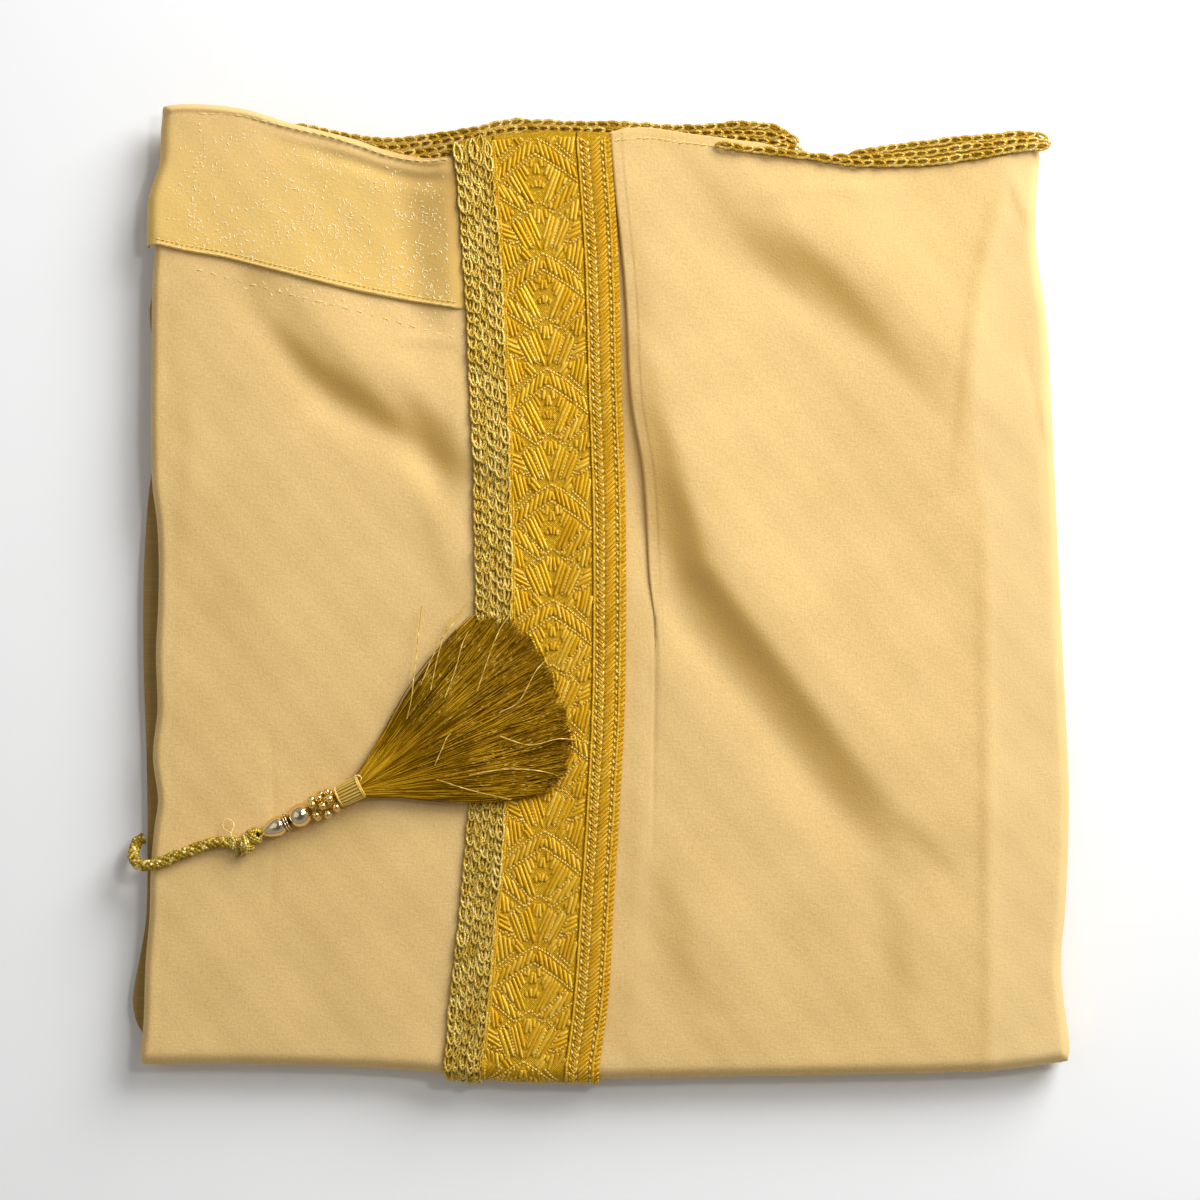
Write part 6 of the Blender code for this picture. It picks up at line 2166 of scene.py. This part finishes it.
# A thread's pick is partly its level in the bundle: lower threads get the darker tone, painted shade under the threads
# above; the rest is random tone.
bundle = spin("bundle", thread_lines, mix(level, chance.random(THREADS), 0.6), THREAD, 3,
              thread_gold, taper)

STRAYS = (
    ((422, 606), (416, 664), (413, 696), (408, 718)), ((468, 603), (456, 621), (441, 641), (422, 684)),
    ((452, 617), (444, 637), (436, 669), (432, 689)), ((475, 622), (464, 641), (457, 667), (446, 697)),
    ((392, 771), (432, 777), (472, 789), (511, 798)), ((481, 718), (452, 732), (443, 748), (436, 764)),
    ((560, 650), (538, 668), (520, 700), (500, 712)), ((590, 742), (560, 738), (530, 744), (500, 735)),
    ((512, 612), (500, 630), (490, 655), (478, 690)), ((566, 778), (540, 770), (505, 768), (470, 774)),
)  # a few threads that stray from the fan, as places in the photograph's frame
PHOTO_MIDDLE = (600, 596)
PHOTO_SCALE = PICTURE_WIDTH / (2 * PHOTO_MIDDLE[0])
stray_lines = []
at = np.linspace(0, 3, 16)
for stray in STRAYS:
    corners = np.array(stray, float)
    x = (read_table(list(enumerate(corners[:, 0])), at) - PHOTO_MIDDLE[0]) * PHOTO_SCALE
    y = (PHOTO_MIDDLE[1] - read_table(list(enumerate(corners[:, 1])), at)) * PHOTO_SCALE
    inside = np.clip(np.linspace(0, 1, 16) * 2, 0, 1)
    stray_lines.append(np.stack([x, y, tassel_floor(x, y) + mix(0.5, 5.4, inside)], axis=1))
strays = spin("strays", stray_lines, [0.95] * len(STRAYS), 0.42, 5, stray_gold)
tassel = join_pieces("tassel_threads", [bundle, strays])
print("tassel:", THREADS, "threads,", len(tassel.data.polygons), "faces")

# %% [markdown]
# Each piece takes over from its plain solid in the imported model. Cloth is also declared as a sheet,
# with the flat size it was cut to, which `cut_size` measured when it was laid. The cord is declared
# with its real length and the points it follows, so that a program can let it swing.
# %% Put the pieces in place of the model's solids
REPLACED = {
    "left_front_cloth": ("plain_cloth", ["left_front"]),
    "right_front_cloth": ("plain_cloth", ["right_front"]),
    "neck_facing": ("facing_cloth", ["neck_band_reverse"]),
    "folded_cloth": ("inner_cloth", ["folded_layers"]),
    "front_braid": ("braid_gold", ["front_chain_braid"]),
    "brocade": ("zari_gold", ["front_band"]),
    "border": ("zari_gold", ["band_border"]),
    "neck_ribbon": ("braid_gold", ["neck_braid"]),
    "right_ribbon": ("braid_gold", ["right_braid"]),
    "neck_cord": ("thread_gold", ["cord"]),
    "knot": ("thread_gold", ["cord_knot"]),
    "teardrop": ("bead_metal", ["teardrop_bead"]),
    "engraved_rings": ("bead_metal", ["bead_rings"]),
    "round_bead": ("bead_metal", ["ball_bead"]),
    "bead_cluster_balls": ("bead_metal", ["bead_cluster"]),
    "ribbed_cap": ("bead_metal", ["tassel_cap"]),
    "tassel_threads": ("thread_gold", ["tassel"]),
    "front_chain": ("braid_gold", []),
    "brocade_stitches": ("zari_gold", []),
    "border_stitches": ("zari_gold", []),
    "neck_ribbon_links": ("braid_gold", []),
    "right_ribbon_links": ("braid_gold", []),
}
for piece in small_pieces:
    bpy.data.objects.remove(piece, do_unlink=True)
for name, (slot, nodes) in REPLACED.items():
    piece = bpy.data.objects[name]
    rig.ride(piece, "root")
    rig.slot(piece, slot)
    if nodes:
        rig.replaces(piece, *nodes)

SHEETS = (
    (left_cloth, cut_size(left_grid), "folded", ["folded_cloth"], []),
    (right_cloth, cut_size(right_grid), "folded", ["folded_cloth"], []),
    (facing, cut_size(facing_grid), "folded", ["left_front_cloth"], []),
    (front_braid, braid_size, "laid", ["left_front_cloth"], [front_chain]),
    (brocade, brocade_size, "laid", ["left_front_cloth", "right_front_cloth"], [brocade_stitches]),
    (border, border_size, "laid", ["right_front_cloth"], [border_stitches]),
    (neck_braid, neck_size, "laid", ["folded_cloth"], [neck_links]),
    (top_braid, top_size, "laid", ["right_front_cloth"], [top_links]),
)  # piece, flat size in mm, how it is held, what it lies on, what is sewn to it
for piece, (wide, deep, area), held, below, sewn in SHEETS:
    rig.sheet(piece, flat=(wide * MM, deep * MM), area=area * MM * MM, held=held, rests_on=below,
             with_pieces=sewn)
    print(piece.name, "cut", round(wide), "x", round(deep), "mm,", round(area / 100), "cm2")

cord_points = [tuple(float(value) * MM for value in point) for point in cord_path]
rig.cord(neck_cord, exit=cord_points[0], length=cord_length * MM, diameter=CORD_DIAMETER * MM,
        far_end="knot", stiffness="limp", lay="loose", path=cord_points,
        with_pieces=[knot, teardrop, bead_rings, ball, cluster, cap, "tassel"])

sizes = {"cad": [list(corner) for corner in cad_box],
         "visual": [list(corner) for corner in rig.bounds()]}
with open("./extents.json", "w") as out:
    json.dump(sizes, out)
print(sizes)
